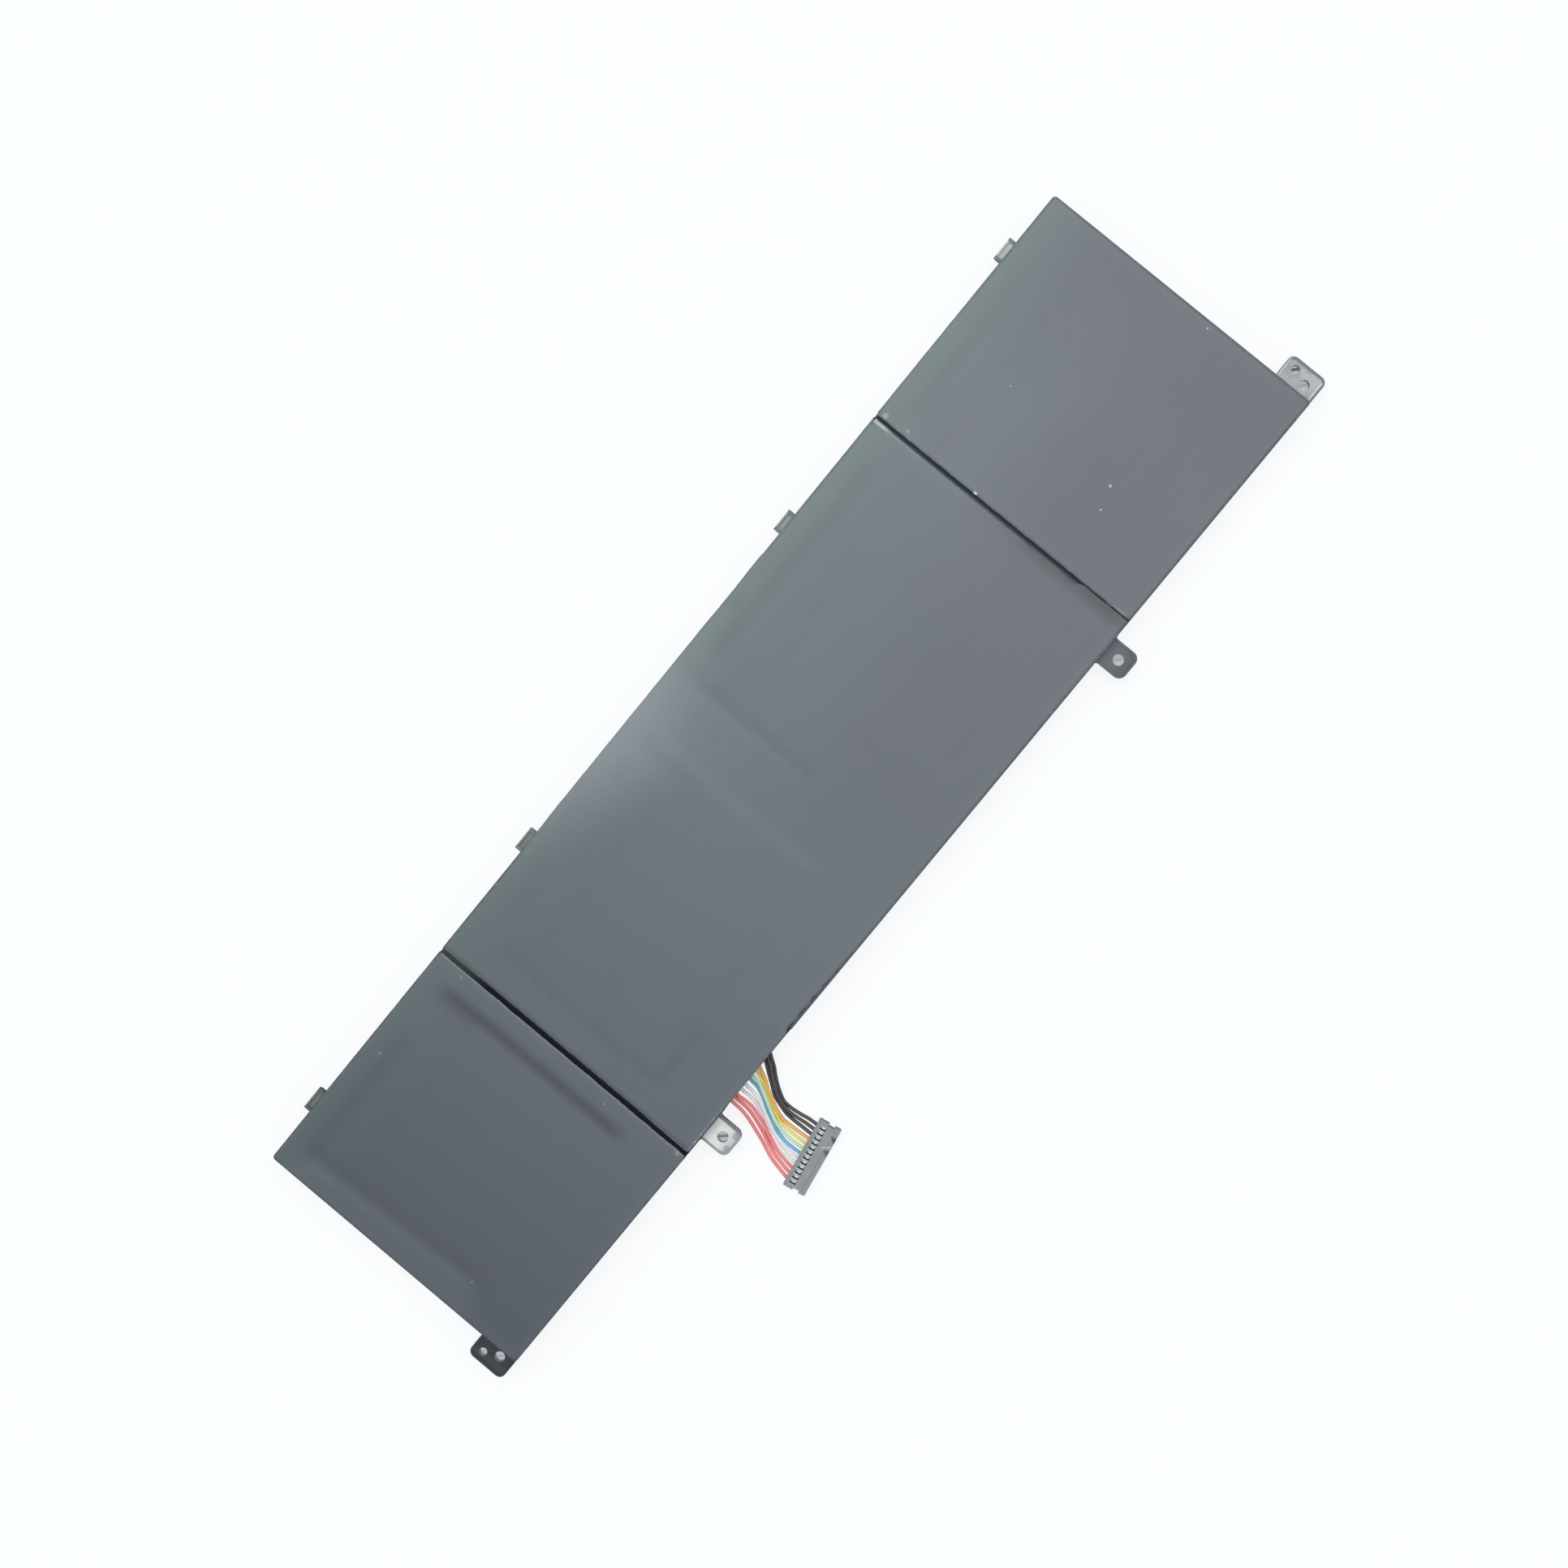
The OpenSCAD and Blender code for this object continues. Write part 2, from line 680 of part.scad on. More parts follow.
// Outline of the plug seen from above, with a notch ahead of the windows at each end
module plug_outline() {
    difference() {
        round_rect(-plug_w / 2, -plug_half, plug_w / 2, plug_half, plug_edge);
        for (side = [-1, 1]) {
            translate([side * plug_w / 2 - plug_notch[0], window_row_y0 - plug_notch[1]])
                square([2 * plug_notch[0], plug_notch[1]]);
        }
    }
}

// Housing of the plug, which lies on the surface beside the pack
module plug_housing() {
    color([0.55, 0.57, 0.58]) translate(plug_at) rotate([0, 0, plug_turn]) {
        difference() {
            linear_extrude(plug_thk - plug_ramp[2]) plug_outline();
            for (i = [0 : last_index]) {
                translate([way_x(i), 0, 0]) plug_way();
            }
        }
        difference() {
            translate([0, 0, plug_thk - plug_ramp[2]]) linear_extrude(plug_ramp[2])
                difference() {
                    plug_outline();
                    for (i = [0 : last_index]) {
                        translate([way_x(i) - plug_window_w / 2, window_row_y0])
                            square([plug_window_w, plug_window_len]);
                    }
                }
            // The upper face steps down beside the two keying ramps at the mating edge
            for (span = [[-plug_w, plug_ramp_x[0] - plug_ramp[0] / 2],
                [plug_ramp_x[0] + plug_ramp[0] / 2, plug_ramp_x[1] - plug_ramp[0] / 2],
                [plug_ramp_x[1] + plug_ramp[0] / 2, plug_w]]) {
                block([span[0], -plug_half - cut, 0], [span[1], -plug_half + plug_ramp[1], plug_thk + cut]);
            }
        }
    }
}

// One stamped contact, which keeps to one side of its cavity: a floor strip, a box for the mating pin and a
// crimp that meets the wire
module contact() {
    x0 = contact_x - contact_w / 2;
    x1 = contact_x + contact_w / 2;
    y0 = -plug_half + contact_mouth;
    y1 = plug_half - wire_grip;
    z0 = plug_cavity_z[0];
    block([x0, y0, z0], [x1, y1, z0 + contact_wall]);
    difference() {
        block([x0, y0, z0], [x1, window_row_y0, z0 + contact_box_h]);
        block([x0 + contact_wall, y0 - cut, z0 + contact_wall],
            [x1 - contact_wall, window_row_y0 + cut, z0 + contact_box_h - contact_wall]);
    }
    block([x0, y1 - crimp_len, z0], [x1, y1, wire_z + wire_d / 2]);
}

module plug_contacts() {
    color([0.85, 0.83, 0.75]) translate(plug_at) rotate([0, 0, plug_turn]) {
        for (i = [0 : last_index]) {
            translate([way_x(i), 0, 0]) contact();
        }
    }
}

black = [0.16, 0.16, 0.17];
orange = [0.95, 0.55, 0.2];
yellow = [0.93, 0.87, 0.35];
green = [0.7, 0.82, 0.6];
blue = [0.25, 0.6, 0.85];
white = [0.93, 0.93, 0.93];
red = [0.9, 0.3, 0.3];

frame();
cell(1);  // cell_1
cell(2);  // cell_2
cell(3);  // cell_3
cell(4);  // cell_4
positive_tab(1);  // positive_tab_1
positive_tab(2);  // positive_tab_2
positive_tab(3);  // positive_tab_3
positive_tab(4);  // positive_tab_4
negative_tab(1);  // negative_tab_1
negative_tab(2);  // negative_tab_2
negative_tab(3);  // negative_tab_3
negative_tab(4);  // negative_tab_4
cell_pad(1);  // cell_pad_1
cell_pad(2);  // cell_pad_2
cell_pad(3);  // cell_pad_3
cell_pad(4);  // cell_pad_4
mirror([1, 0, 0]) short_lead();  // left_short_lead
mirror([1, 0, 0]) long_lead();  // left_long_lead
short_lead();  // right_short_lead
long_lead();  // right_long_lead
board();
solder_pads();
controller_chip();
guard_chip();
switch_left();
switch_right();
cutoff_fuse();
sense_resistor();
temperature_sensor();
capacitors();
board_tape();
front_film_left();
front_film_middle();
front_film_right();
rear_film_left();
rear_film_middle();
rear_film_right();
wire(0, black);  // wire_black_1
wire(1, black);  // wire_black_2
wire(2, black);  // wire_black_3
wire(3, orange);  // wire_orange
wire(4, yellow);  // wire_yellow
wire(5, green);  // wire_green
wire(6, blue);  // wire_blue
wire(7, white);  // wire_white_1
wire(8, white);  // wire_white_2
wire(9, red);  // wire_red_1
wire(10, red);  // wire_red_2
wire(11, red);  // wire_red_3
plug_housing();
plug_contacts();
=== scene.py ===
# %% [markdown]
# # A flat battery pack
# The pack is a thin black tray for four foil cells, closed by three panels of matte film on each face. A
# ribbon of twelve wires leaves one long edge and ends in a small grey plug. The solid model gives every hard
# piece its place. This lesson adds what the eye reads on the real thing: films that sag over the cells, soft
# wires, worn plastic, foil, copper and tin, and the plain studio light.

# %% Load the solid model
from collections import namedtuple
import bpy
import numpy as np
from mathutils import Matrix


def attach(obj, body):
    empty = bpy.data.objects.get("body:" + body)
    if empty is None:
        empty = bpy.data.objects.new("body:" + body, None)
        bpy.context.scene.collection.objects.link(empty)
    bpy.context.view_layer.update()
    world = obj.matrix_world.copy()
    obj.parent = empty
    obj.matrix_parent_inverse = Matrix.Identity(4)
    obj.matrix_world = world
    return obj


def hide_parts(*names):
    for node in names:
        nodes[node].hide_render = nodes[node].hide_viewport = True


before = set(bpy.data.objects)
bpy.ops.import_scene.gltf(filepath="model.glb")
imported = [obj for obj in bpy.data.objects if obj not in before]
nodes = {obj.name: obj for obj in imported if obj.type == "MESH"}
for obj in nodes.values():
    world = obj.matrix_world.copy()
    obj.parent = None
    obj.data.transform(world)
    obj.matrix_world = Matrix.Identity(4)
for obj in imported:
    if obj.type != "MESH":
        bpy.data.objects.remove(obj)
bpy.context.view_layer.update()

print("solid pieces:", len(nodes))

# %% [markdown]
# ## Camera
# The photograph was taken from about half a metre above the pack with a normal lens, a little off the
# vertical. A camera in Blender looks along its own -Z axis with +Y up in the picture, so three perpendicular
# directions and a place are all it needs.

# %% Camera from its place, its target and the picture's up direction
MM = 0.001
lens, sensor = 59.63, 36
camera_place = np.array([39.9, -22.6, 516.7]) * MM
camera_target = np.array([0.4, 0.32, 0.0]) * MM
picture_up = np.array([0.7707, 0.6365, -0.0308])


def unit(vector):
    """The vector divided by its length, for one vector or for each row of an array."""
    return vector / np.linalg.norm(vector, axis=-1, keepdims=True)


def facing(place, target, up):
    """Matrix whose -Z axis runs from place to target, and whose Y axis is as near to up as that allows."""
    back = unit(place - target)
    right = unit(np.cross(up, back))
    above = np.cross(back, right)
    matrix = np.eye(4)
    matrix[:3, 0], matrix[:3, 1], matrix[:3, 2], matrix[:3, 3] = right, above, back, place
    return Matrix(matrix.tolist())


camera_data = bpy.data.cameras.new("camera")
camera_data.lens = lens
camera_data.sensor_width = sensor
camera = bpy.data.objects.new("camera", camera_data)
camera.matrix_world = facing(camera_place, camera_target, picture_up)
bpy.context.scene.collection.objects.link(camera)
bpy.context.scene.camera = camera
print("camera height in mm:", camera_place[2] / MM)

# %% [markdown]
# ## Wires
# Each wire starts on the board, leaves through the notch in the long edge, sinks onto the table and ends in
# its own way of the plug. The wires bunch in groups, so six of them have their own row of places and the
# other six lie evenly between. All twelve pass the same stations across the pack.

# %% Places of the wires in millimetres, and the route of one
station_y = np.array([-22.6, -24.5, -26.8, -29.2, -31.9, -34, -36, -38, -40, -42, -44, -46])
station_z = np.array([3.3, 3.5, 3.7, 3.6, 3.4, 3, 2.4, 1.7, 1.1, 0.7, 0.6, 0.8])
key_wires = [0, 2, 3, 6, 9, 11]
key_x = np.array([
    [-34.9, -36.4, -38.3, -40.3, -42.6, -44.1, -45.9, -47.4, -48.5, -48.7, -48.5, -48.1],
    [-37.2, -38.6, -40.3, -42.2, -44.2, -45.8, -47.3, -48.8, -49.6, -50.2, -50.3, -50.2],
    [-38.4, -39.9, -41.9, -44.1, -45.9, -47.0, -48.4, -49.6, -50.7, -51.4, -51.5, -51.4],
    [-41.9, -43.3, -45.4, -47.4, -49.0, -49.4, -50.3, -51.5, -52.7, -53.8, -54.4, -54.7],
    [-45.4, -46.9, -49.2, -51.5, -53.0, -53.0, -53.2, -53.9, -54.7, -55.8, -56.7, -57.3],
    [-47.7, -49.3, -51.6, -53.5, -54.7, -54.9, -55.3, -56.0, -56.8, -57.6, -58.5, -59.2]])
bunch_lift = 0.66
plug_place = np.array([-53.5, -51.45, 0])
plug_turn = np.radians(10)
plug_half = 2.45
wire_grip = 0.9
way_pitch = 1.12
wire_height = 1.3
wire_thick = 0.75
wall_y = -31.9
wire_names = ["wire_black_1", "wire_black_2", "wire_black_3", "wire_orange", "wire_yellow", "wire_green",
              "wire_blue", "wire_white_1", "wire_white_2", "wire_red_1", "wire_red_2", "wire_red_3"]


def plug_point(x, y, z):
    """Points of the plug's own frame, turned and moved to the plug's place."""
    cos, sin = np.cos(plug_turn), np.sin(plug_turn)
    return plug_place + np.stack([x * cos - y * sin, x * sin + y * cos, z], axis=-1)


def wire_route(index):
    """Stations of one wire, evenly between the two key wires beside it, then two points in the plug. Every
    second wire rides up over its neighbours where the ribbon narrows."""
    x = np.array([np.interp(index, key_wires, column) for column in key_x.T])
    step = np.arange(len(station_y))
    arch = np.sin(np.pi * (step - 1) / (len(station_y) - 1))
    lift = np.where(step > 1, (index % 2) * bunch_lift * arch, 0)
    laid = np.stack([x, station_y, station_z + lift], axis=1)
    way = ((len(wire_names) - 1) / 2 - index) * way_pitch
    mouth = plug_point(way, plug_half, wire_height)
    crimp = plug_point(way, plug_half - wire_grip, wire_height)
    return np.vstack([laid, mouth, crimp])


print("wires:", len(wire_names), "stations:", len(station_y))

# %% [markdown]
# ## Smooth line through a route
# A Catmull-Rom curve goes through every place it is given and needs nothing but the places.

# %% Smooth line and its length
def smooth_line(points, per_span=8):
    """Catmull-Rom curve: between two points, a cubic that also heeds the point before and the point after."""
    padded = np.vstack([2 * points[0] - points[1], points, 2 * points[-1] - points[-2]])
    p0, p1, p2, p3 = padded[:-3], padded[1:-2], padded[2:-1], padded[3:]
    t = (np.arange(per_span) / per_span)[None, :, None]
    p0, p1, p2, p3 = (p[:, None, :] for p in (p0, p1, p2, p3))
    line = 0.5 * (2 * p1 + (p2 - p0) * t + (2 * p0 - 5 * p1 + 4 * p2 - p3) * t**2
                  + (3 * p1 - p0 - 3 * p2 + p3) * t**3)
    return np.vstack([line.reshape(-1, 3), points[-1]])


def line_length(line):
    """Sum of the lengths of the line's short straight pieces."""
    return float(np.linalg.norm(np.diff(line, axis=0), axis=1).sum())


print("points on a wire's smooth line:", len(smooth_line(wire_route(0))))

# %% [markdown]
# ## From a line to a tube
# A tube worked out ring by ring has a clean map along and around the wire for its finish, and its centre line
# is known exactly.

# %% Mesh from arrays, and a tube around a line
def put_mesh(name, points, faces, uv=None):
    """New object at the origin from points in millimetres, lists of corners, and one uv pair for each
    corner."""
    mesh = bpy.data.meshes.new(name)
    mesh.from_pydata((np.asarray(points) * MM).tolist(), [], faces)
    mesh.polygons.foreach_set("use_smooth", np.ones(len(mesh.polygons), bool))
    if uv is not None:
        mesh.uv_layers.new(name="along").data.foreach_set("uv", np.asarray(uv, float).ravel())
    mesh.update()
    made = bpy.data.objects.new(name, mesh)
    bpy.context.scene.collection.objects.link(made)
    return made


def tube(name, line, thick, sides=16):
    """Rings of points across the line, each upright to it, joined into a closed tube that is about one
    percent uneven. The map's first value is the distance along the wire in millimetres, its second the share
    of the way around."""
    ahead = unit(np.gradient(line, axis=0))
    across = unit(np.cross(ahead, [0, 0, 1]))
    rise = np.cross(across, ahead)
    turn = np.arange(sides) * 2 * np.pi / sides
    swell = 1 + 0.012 * np.sin(np.arange(len(line)) * 0.9 + line[0, 0])
    ring = np.cos(turn)[None, :, None] * across[:, None] + np.sin(turn)[None, :, None] * rise[:, None]
    points = line[:, None] + ring * (thick / 2 * swell)[:, None, None]
    rows, cols = np.meshgrid(np.arange(len(line) - 1), np.arange(sides), indexing="ij")
    after = (cols + 1) % sides
    quads = np.stack([rows * sides + cols, rows * sides + after, (rows + 1) * sides + after,
                      (rows + 1) * sides + cols], axis=-1).reshape(-1, 4)
    run = np.concatenate([[0], np.cumsum(np.linalg.norm(np.diff(line, axis=0), axis=1))])
    share = cols / sides
    near, far = run[rows], run[rows + 1]
    uv = np.stack([np.stack([near, share], -1), np.stack([near, share + 1 / sides], -1),
                   np.stack([far, share + 1 / sides], -1), np.stack([far, share], -1)], axis=2)
    first_cap = list(range(sides))[::-1]
    last_cap = list(range((len(line) - 1) * sides, len(line) * sides))
    caps = np.tile([0.0, 0.5], (2 * sides, 1))
    return put_mesh(name, points.reshape(-1, 3), quads.tolist() + [first_cap, last_cap],
                    np.vstack([uv.reshape(-1, 2), caps]))


print("mesh and tube helpers ready")

# %% [markdown]
# ## Twelve free cords
# Each tube takes the place of its solid twin: a limp wire that follows its smooth line, and whose length is
# printed.

# %% The twelve wires
wires = []
for index, name in enumerate(wire_names):
    line = smooth_line(wire_route(index))
    wire = tube("soft_" + name, line, wire_thick)
    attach(wire, "root")
    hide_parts(name)
    wires.append(wire)
    print(name, "is", round(line_length(line), 1), "mm long")

# %% [markdown]
# ## Soft shapes
# A smooth step, a band with soft ends and a hump shape nearly everything on the films. The same three exist
# again further on for shader sockets, so that one description of a crease can bend the surface here and tint
# it there.

# %% Steps, bands, humps and uneven waves
def soft_step(value, low, high):
    """0 below low, 1 above high, and a smooth S between them."""
    t = np.clip((value - low) / (high - low), 0, 1)
    return t * t * (3 - 2 * t)


def between(value, low, high, soft):
    """1 between low and high, with soft ends."""
    return soft_step(value, low - soft, low + soft) * (1 - soft_step(value, high - soft, high + soft))


def hump(offset, half_width):
    """A smooth hump of height 1 where the offset is 0, gone at two half widths."""
    return 1 - soft_step(abs(offset), 0, 2 * half_width)


def ripple(value, seed, amplitude):
    """A fixed uneven wave: five sines of unrelated lengths, added and divided by the sum of their weights."""
    waves = [(0.83, 1.0), (1.71, 0.7), (3.13, 0.5), (5.9, 0.35), (9.7, 0.2)]
    total = sum(weight * np.sin(value * rate + seed * (k + 1.7)) for k, (rate, weight) in enumerate(waves))
    return amplitude * total / 2.75


def edge_spacing(length, step):
    """Places from 0 to length: close together in the first and last 3 mm, and about step apart between."""
    fine = np.array([0, 0.04, 0.09, 0.15, 0.22, 0.3, 0.4, 0.52, 0.68, 0.9, 1.2, 1.6, 2.1, 2.7])
    margin = fine[-1]
    count = int(round((length - 2 * margin) / step)) + 1
    inner = np.linspace(margin, length - margin, count)
    return np.concatenate([fine[:-1], inner, (length - fine)[::-1][1:]])


print("soft step over its range:", soft_step(np.linspace(0, 1, 5), 0, 1).tolist())

# %% [markdown]
# ## Tongues in the plug
# Every contact has a springy tongue, bent up from the strip, that shows in its window and catches the light.
# It is a thin bent band: one row of heights along it and four corners across it describe it fully.

# %% Twelve tongues in one mesh
foot_z, climb, droop = 2.2, 0.3, 0.2
tongue_start, tongue_run, tongue_thick = 1.62, 1.3, 0.1
tongue_sides = (-0.02, 0.35)


def contact_tongues():
    """Twelve bands. Each climbs from its wire towards the mating side as a quarter turn of a sine, and its
    last fifth drops again."""
    t = np.linspace(0, 1, 13)[:, None]
    height = foot_z + climb * np.sin(np.pi / 2 * np.clip(t / 0.6, 0, 1)) - droop * soft_step(t, 0.8, 1.0)
    ways = ((len(wire_names) - 1) / 2 - np.arange(len(wire_names)))[:, None, None] * way_pitch
    across = np.array([*tongue_sides, *tongue_sides[::-1]])
    below = np.array([0, 0, tongue_thick, tongue_thick])
    u = ways + across + 0 * t
    points = plug_point(u, tongue_start - tongue_run * t + 0 * u, height - below + 0 * u)
    at = np.arange(u.size).reshape(u.shape)
    beside = np.roll(at, -1, axis=2)
    walls = np.stack([at[:, :-1], at[:, 1:], beside[:, 1:], beside[:, :-1]], -1).reshape(-1, 4)
    caps = np.concatenate([at[:, 0], at[:, -1, ::-1]])
    return put_mesh("contact_tongues", points.reshape(-1, 3), np.concatenate([walls, caps]).tolist())


tongues = contact_tongues()
tongues.data.polygons.foreach_set("use_smooth", np.zeros(len(tongues.data.polygons), bool))
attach(tongues, "root")
print("tongue faces:", len(tongues.data.polygons))

# %% [markdown]
# ## Outline of the cover films
# Each face of the tray is closed by three panels of matte film, a fifth of a millimetre thick and cut by
# hand. Nothing about their edges is quite straight: the long edge swells beside the middle cells, is nibbled
# near the left seam and stops short of the wall beside the notch. Each edge is a small function of the place
# along it.

# %% Edges of the films, in millimetres
film_half = 31.7
film_corner = 0.9
seam_corner = 0.35


def upper_edge(x):
    """Edge of the films along the hooked side: a ripple, swellings, a ramp that ends in a step, a fine wave
    where it is nibbled, and a bump and two dips at the seams."""
    edge = film_half + ripple(x, 1.3, 0.03)
    edge = edge + 0.3 * between(x, -38, 22, 7)
    edge = edge + 0.32 * soft_step(x, 18, 31) * (1 - soft_step(x, 33.0, 33.8))
    edge = edge + 0.22 * between(x, 71, 94, 2.5)
    edge = edge - 0.09 * (1 + np.sin(x * 3.49)) * between(x, -60.6, -43, 0.8)
    edge = edge + 0.2 * hump(x + 72.7, 1.6)
    return edge - 0.25 * between(x, 65.8, 68, 0.5) - 0.12 * between(x, -71, -68, 0.5)


def lower_edge(x):
    """Edge of the films along the lugged side, which stops short of the wall beside the notch for the
    wires."""
    edge = -film_half + ripple(x, 2.9, 0.03)
    short = soft_step(x, -36.9, -36.2) * (1 - soft_step(x, -30, -8))
    edge = edge + (0.5 + 0.1 * np.sin(x * 1.745)) * short
    return edge + 0.1 * between(x, -67.5, -55.8, 1.0)


print("edges at the middle:", upper_edge(np.zeros(1)).round(2), lower_edge(np.zeros(1)).round(2))

# %% [markdown]
# ## Seams and ends
# Two seams part the panels. Each side of a seam is cut on its own, so its width changes along the way.

# %% Cut edges across the pack, in millimetres
def left_seam_left(y):
    """Right edge of the left panel, cut with a slightly ragged blade."""
    return -68.55 + ripple(y, 0.4, 0.07)


def left_seam_right(y):
    """Left edge of the middle panel, which closes in towards the lugged side."""
    return -67.42 + ripple(y, 2.2, 0.06) - 0.25 * soft_step(-y, 18, 25) - 0.1 * soft_step(y, 26, 31)


def right_seam_left(y):
    """Right edge of the middle panel, which nearly meets the next panel over its last third."""
    edge = 67.45 + ripple(y, 3.1, 0.05) - 0.2 * soft_step(-y, 14, 18) + 0.25 * soft_step(y, 26, 29)
    return edge + 0.88 * soft_step(-y, 18.8, 20.4)


def right_seam_right(y):
    """Left edge of the right panel, nicked where the two films nearly touch."""
    return 68.38 + ripple(y, 5.0, 0.05) - 0.06 * abs(np.sin(y * 2.6)) * soft_step(-y, 18, 20)


def plain_cut(middle, seed, unevenness):
    """A nearly straight cut across the pack, with a ripple along it."""
    return lambda y: middle + ripple(y, seed, unevenness)


left_end, right_end = plain_cut(-122.5, 4.2, 0.03), plain_cut(122.5, 6.1, 0.03)
seam_y = np.linspace(-30, 30, 5)
print("right seam's width:", (right_seam_right(seam_y) - right_seam_left(seam_y)).round(2).tolist())

# %% [markdown]
# ## Creases
# Where the film dips over a cell's round shoulder, the dip prints through as a faint line. A table lists the
# lines once. Each follows a gentle parabola and has a half width, a depth and a shade: painted shade darkens
# the dips, and a negative shade paints a pale highlight along the line.

# %% The creases of the front films, in millimetres
Crease = namedtuple("Crease", "runs middle low high half depth shade lean bow", defaults=(0.0, 0.0))
creases = [
    Crease("y", -74.0, -19, 26, 1.2, 0.08, 0.54),
    Crease("y", -75.6, 17, 27, 1.3, 0.02, 0.26),
    Crease("y", -114.9, -18, 26, 1.6, 0.04, 0.12, -0.048),
    Crease("y", -117.4, -16, 26, 1.2, 0.00, -0.05, -0.045),
    Crease("y", -120.2, -18, 28, 1.8, 0.00, -0.04, -0.02),
    Crease("y", -61.1, -18.2, 22, 1.2, 0.05, 0.10, 0.017, 0.0021),
    Crease("y", -8.1, -15, 24, 1.4, 0.00, -0.035),
    Crease("y", 5.4, -4, 26, 1.1, 0.06, 0.09),
    Crease("x", 26.3, -118, -87, 1.5, 0.05, 0.17),
    Crease("x", 25.6, -55, -42, 1.6, 0.03, 0.06),
    Crease("x", 27.0, 12, 60, 1.4, 0.05, 0.14, -0.02),
    Crease("x", 25.4, 73, 109, 1.3, 0.04, 0.10, 0.011),
    Crease("x", -18.3, -60.5, -47, 1.2, 0.05, 0.14),
    Crease("x", -19.0, 94, 117, 1.2, 0.02, 0.05)]
print("creases:", len(creases))

# %% [markdown]
# ## Sag
# The creases, a slow wave and the curl of the cut ends add up to one depth for every place of the film.

# %% Depth of the films below their flat planes
def crease_shape(crease, x, y, hump_of, band_of):
    """Strength of a crease at a place, from 0 to 1. It works on arrays with the functions above, and on
    shader sockets with the methods of the same kind."""
    along, across = (y, x) if crease.runs == "y" else (x, y)
    offset = across - (crease.middle + crease.lean * along + crease.bow * (along * along))
    return hump_of(offset, crease.half) * band_of(along, crease.low, crease.high, 3)


def front_sag(x, y):
    """Depth of the film below its flat plane: the creases, a slow wave, a fall towards the hooked edge, and
    the curl of the middle panel's two cut ends."""
    depth = 0.01 * (1 + np.sin(x * 0.21 + 0.8) * np.cos(y * 0.17 + x * 0.02))
    for crease in creases:
        depth = depth + crease.depth * crease_shape(crease, x, y, hump, between)
    depth = depth + 0.04 * (1 - soft_step(x, -117.5, -113.5))
    depth = depth + 0.12 * between(x, -68, -66.9, 0.5)
    depth = depth + 0.12 * between(x, 66.5, 68.1, 0.6) * between(y, -20, -8, 1.5)
    return depth + 0.07 * soft_step(y, 27, 32)


def rear_sag(x, y):
    """The rear films show the four cells only as very shallow dips between them."""
    depth = 0.01 * (1 + np.sin(x * 0.17 + 2.1) * np.cos(y * 0.15))
    for middle in (-62.5, -10.5, 3.5, 55.3):
        depth = depth + 0.05 * hump(x - middle, 1.8) * between(y, -18, 27, 3)
    return depth


print("sag in the middle of the front:", front_sag(np.zeros(1), np.zeros(1)).round(3))

# %% [markdown]
# ## Panels
# A panel is a height field on a grid: its outer face lies below a flat plane by the sag, its inner face is
# flat, and a narrow wall joins the two. The grid lines crowd together near the edges, where the film rolls
# down, and lie about a millimetre apart inside. The distance from the nearest edge is kept on every point, so
# that the finish can paint a pale sheen near the edges and highlights along the cut.

# %% Panel: a thin closed piece with a worked-out outer face
grid_step, roll_width, least_thick = 0.9, 0.5, 0.02


def panel(name, low_x, high_x, sag, face_z, flat_z, roll=0.12):
    """Grid from low_x(y) to high_x(y) and between the two long edges. The outer face lies at face_z less its
    sag, and rolls down beside the edge. The inner face is flat at flat_z. Corners at the pack's ends are
    round, and those at a seam nearly square."""
    length = float(high_x(np.zeros(1))[0] - low_x(np.zeros(1))[0])
    along = edge_spacing(length, grid_step) / length
    across = edge_spacing(2 * film_half, grid_step) / (2 * film_half)
    s, t = np.meshgrid(along, across, indexing="ij")
    rough_x = low_x(0 * s) + (high_x(0 * s) - low_x(0 * s)) * s
    from_end = np.minimum(s, 1 - s) * length
    radius = np.where(np.where(s < 0.5, low_x(0 * s) < -120, high_x(0 * s) > 120), film_corner, seam_corner)
    inset = np.clip(radius - from_end, 0, radius)
    corner = radius - np.sqrt(radius**2 - inset**2)
    low_y = lower_edge(rough_x) + corner
    high_y = upper_edge(rough_x) - corner
    y = low_y + (high_y - low_y) * t
    x = low_x(y) + (high_x(y) - low_x(y)) * s
    from_edge = np.minimum(np.minimum(x - low_x(y), high_x(y) - x), np.minimum(y - low_y, high_y - y))
    rolled = roll * (1 - np.clip(from_edge / roll_width, 0, 1)) ** 2
    side = 1 if face_z > flat_z else -1
    outer_z = face_z - side * np.clip(sag(x, y) + rolled, 0, abs(face_z - flat_z) - least_thick)
    outer = np.stack([x, y, outer_z], -1)
    inner = np.stack([x, y, np.full_like(x, flat_z)], -1)
    rows, cols = x.shape
    at = np.arange(rows * cols).reshape(rows, cols)
    face = np.stack([at[:-1, :-1], at[1:, :-1], at[1:, 1:], at[:-1, 1:]], -1).reshape(-1, 4)
    rim = np.concatenate([at[:, 0], at[-1, 1:], at[-2::-1, -1], at[0, -2:0:-1]])
    rim_next = np.roll(rim, -1)
    back = rows * cols
    wall = np.stack([rim, rim + back, rim_next + back, rim_next], -1)
    quads = np.concatenate([face, face[:, ::-1] + back, wall])
    if side < 0:
        quads = quads[:, ::-1]
    made = put_mesh(name, np.concatenate([outer.reshape(-1, 3), inner.reshape(-1, 3)]), quads.tolist())
    edge = np.concatenate([from_edge.ravel(), 0 * from_edge.ravel()])
    made.data.attributes.new("from_edge", "FLOAT", "POINT").data.foreach_set("value", edge.astype(np.float32))
    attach(made, "root")
    print(name, "has", len(quads), "faces")
    return made


print("grid lines across a panel:", len(edge_spacing(2 * film_half, grid_step)))

# %% [markdown]
# ## Six panels
# The rear panels lie the other way up and are cut a little straighter, because nothing shows how they look.

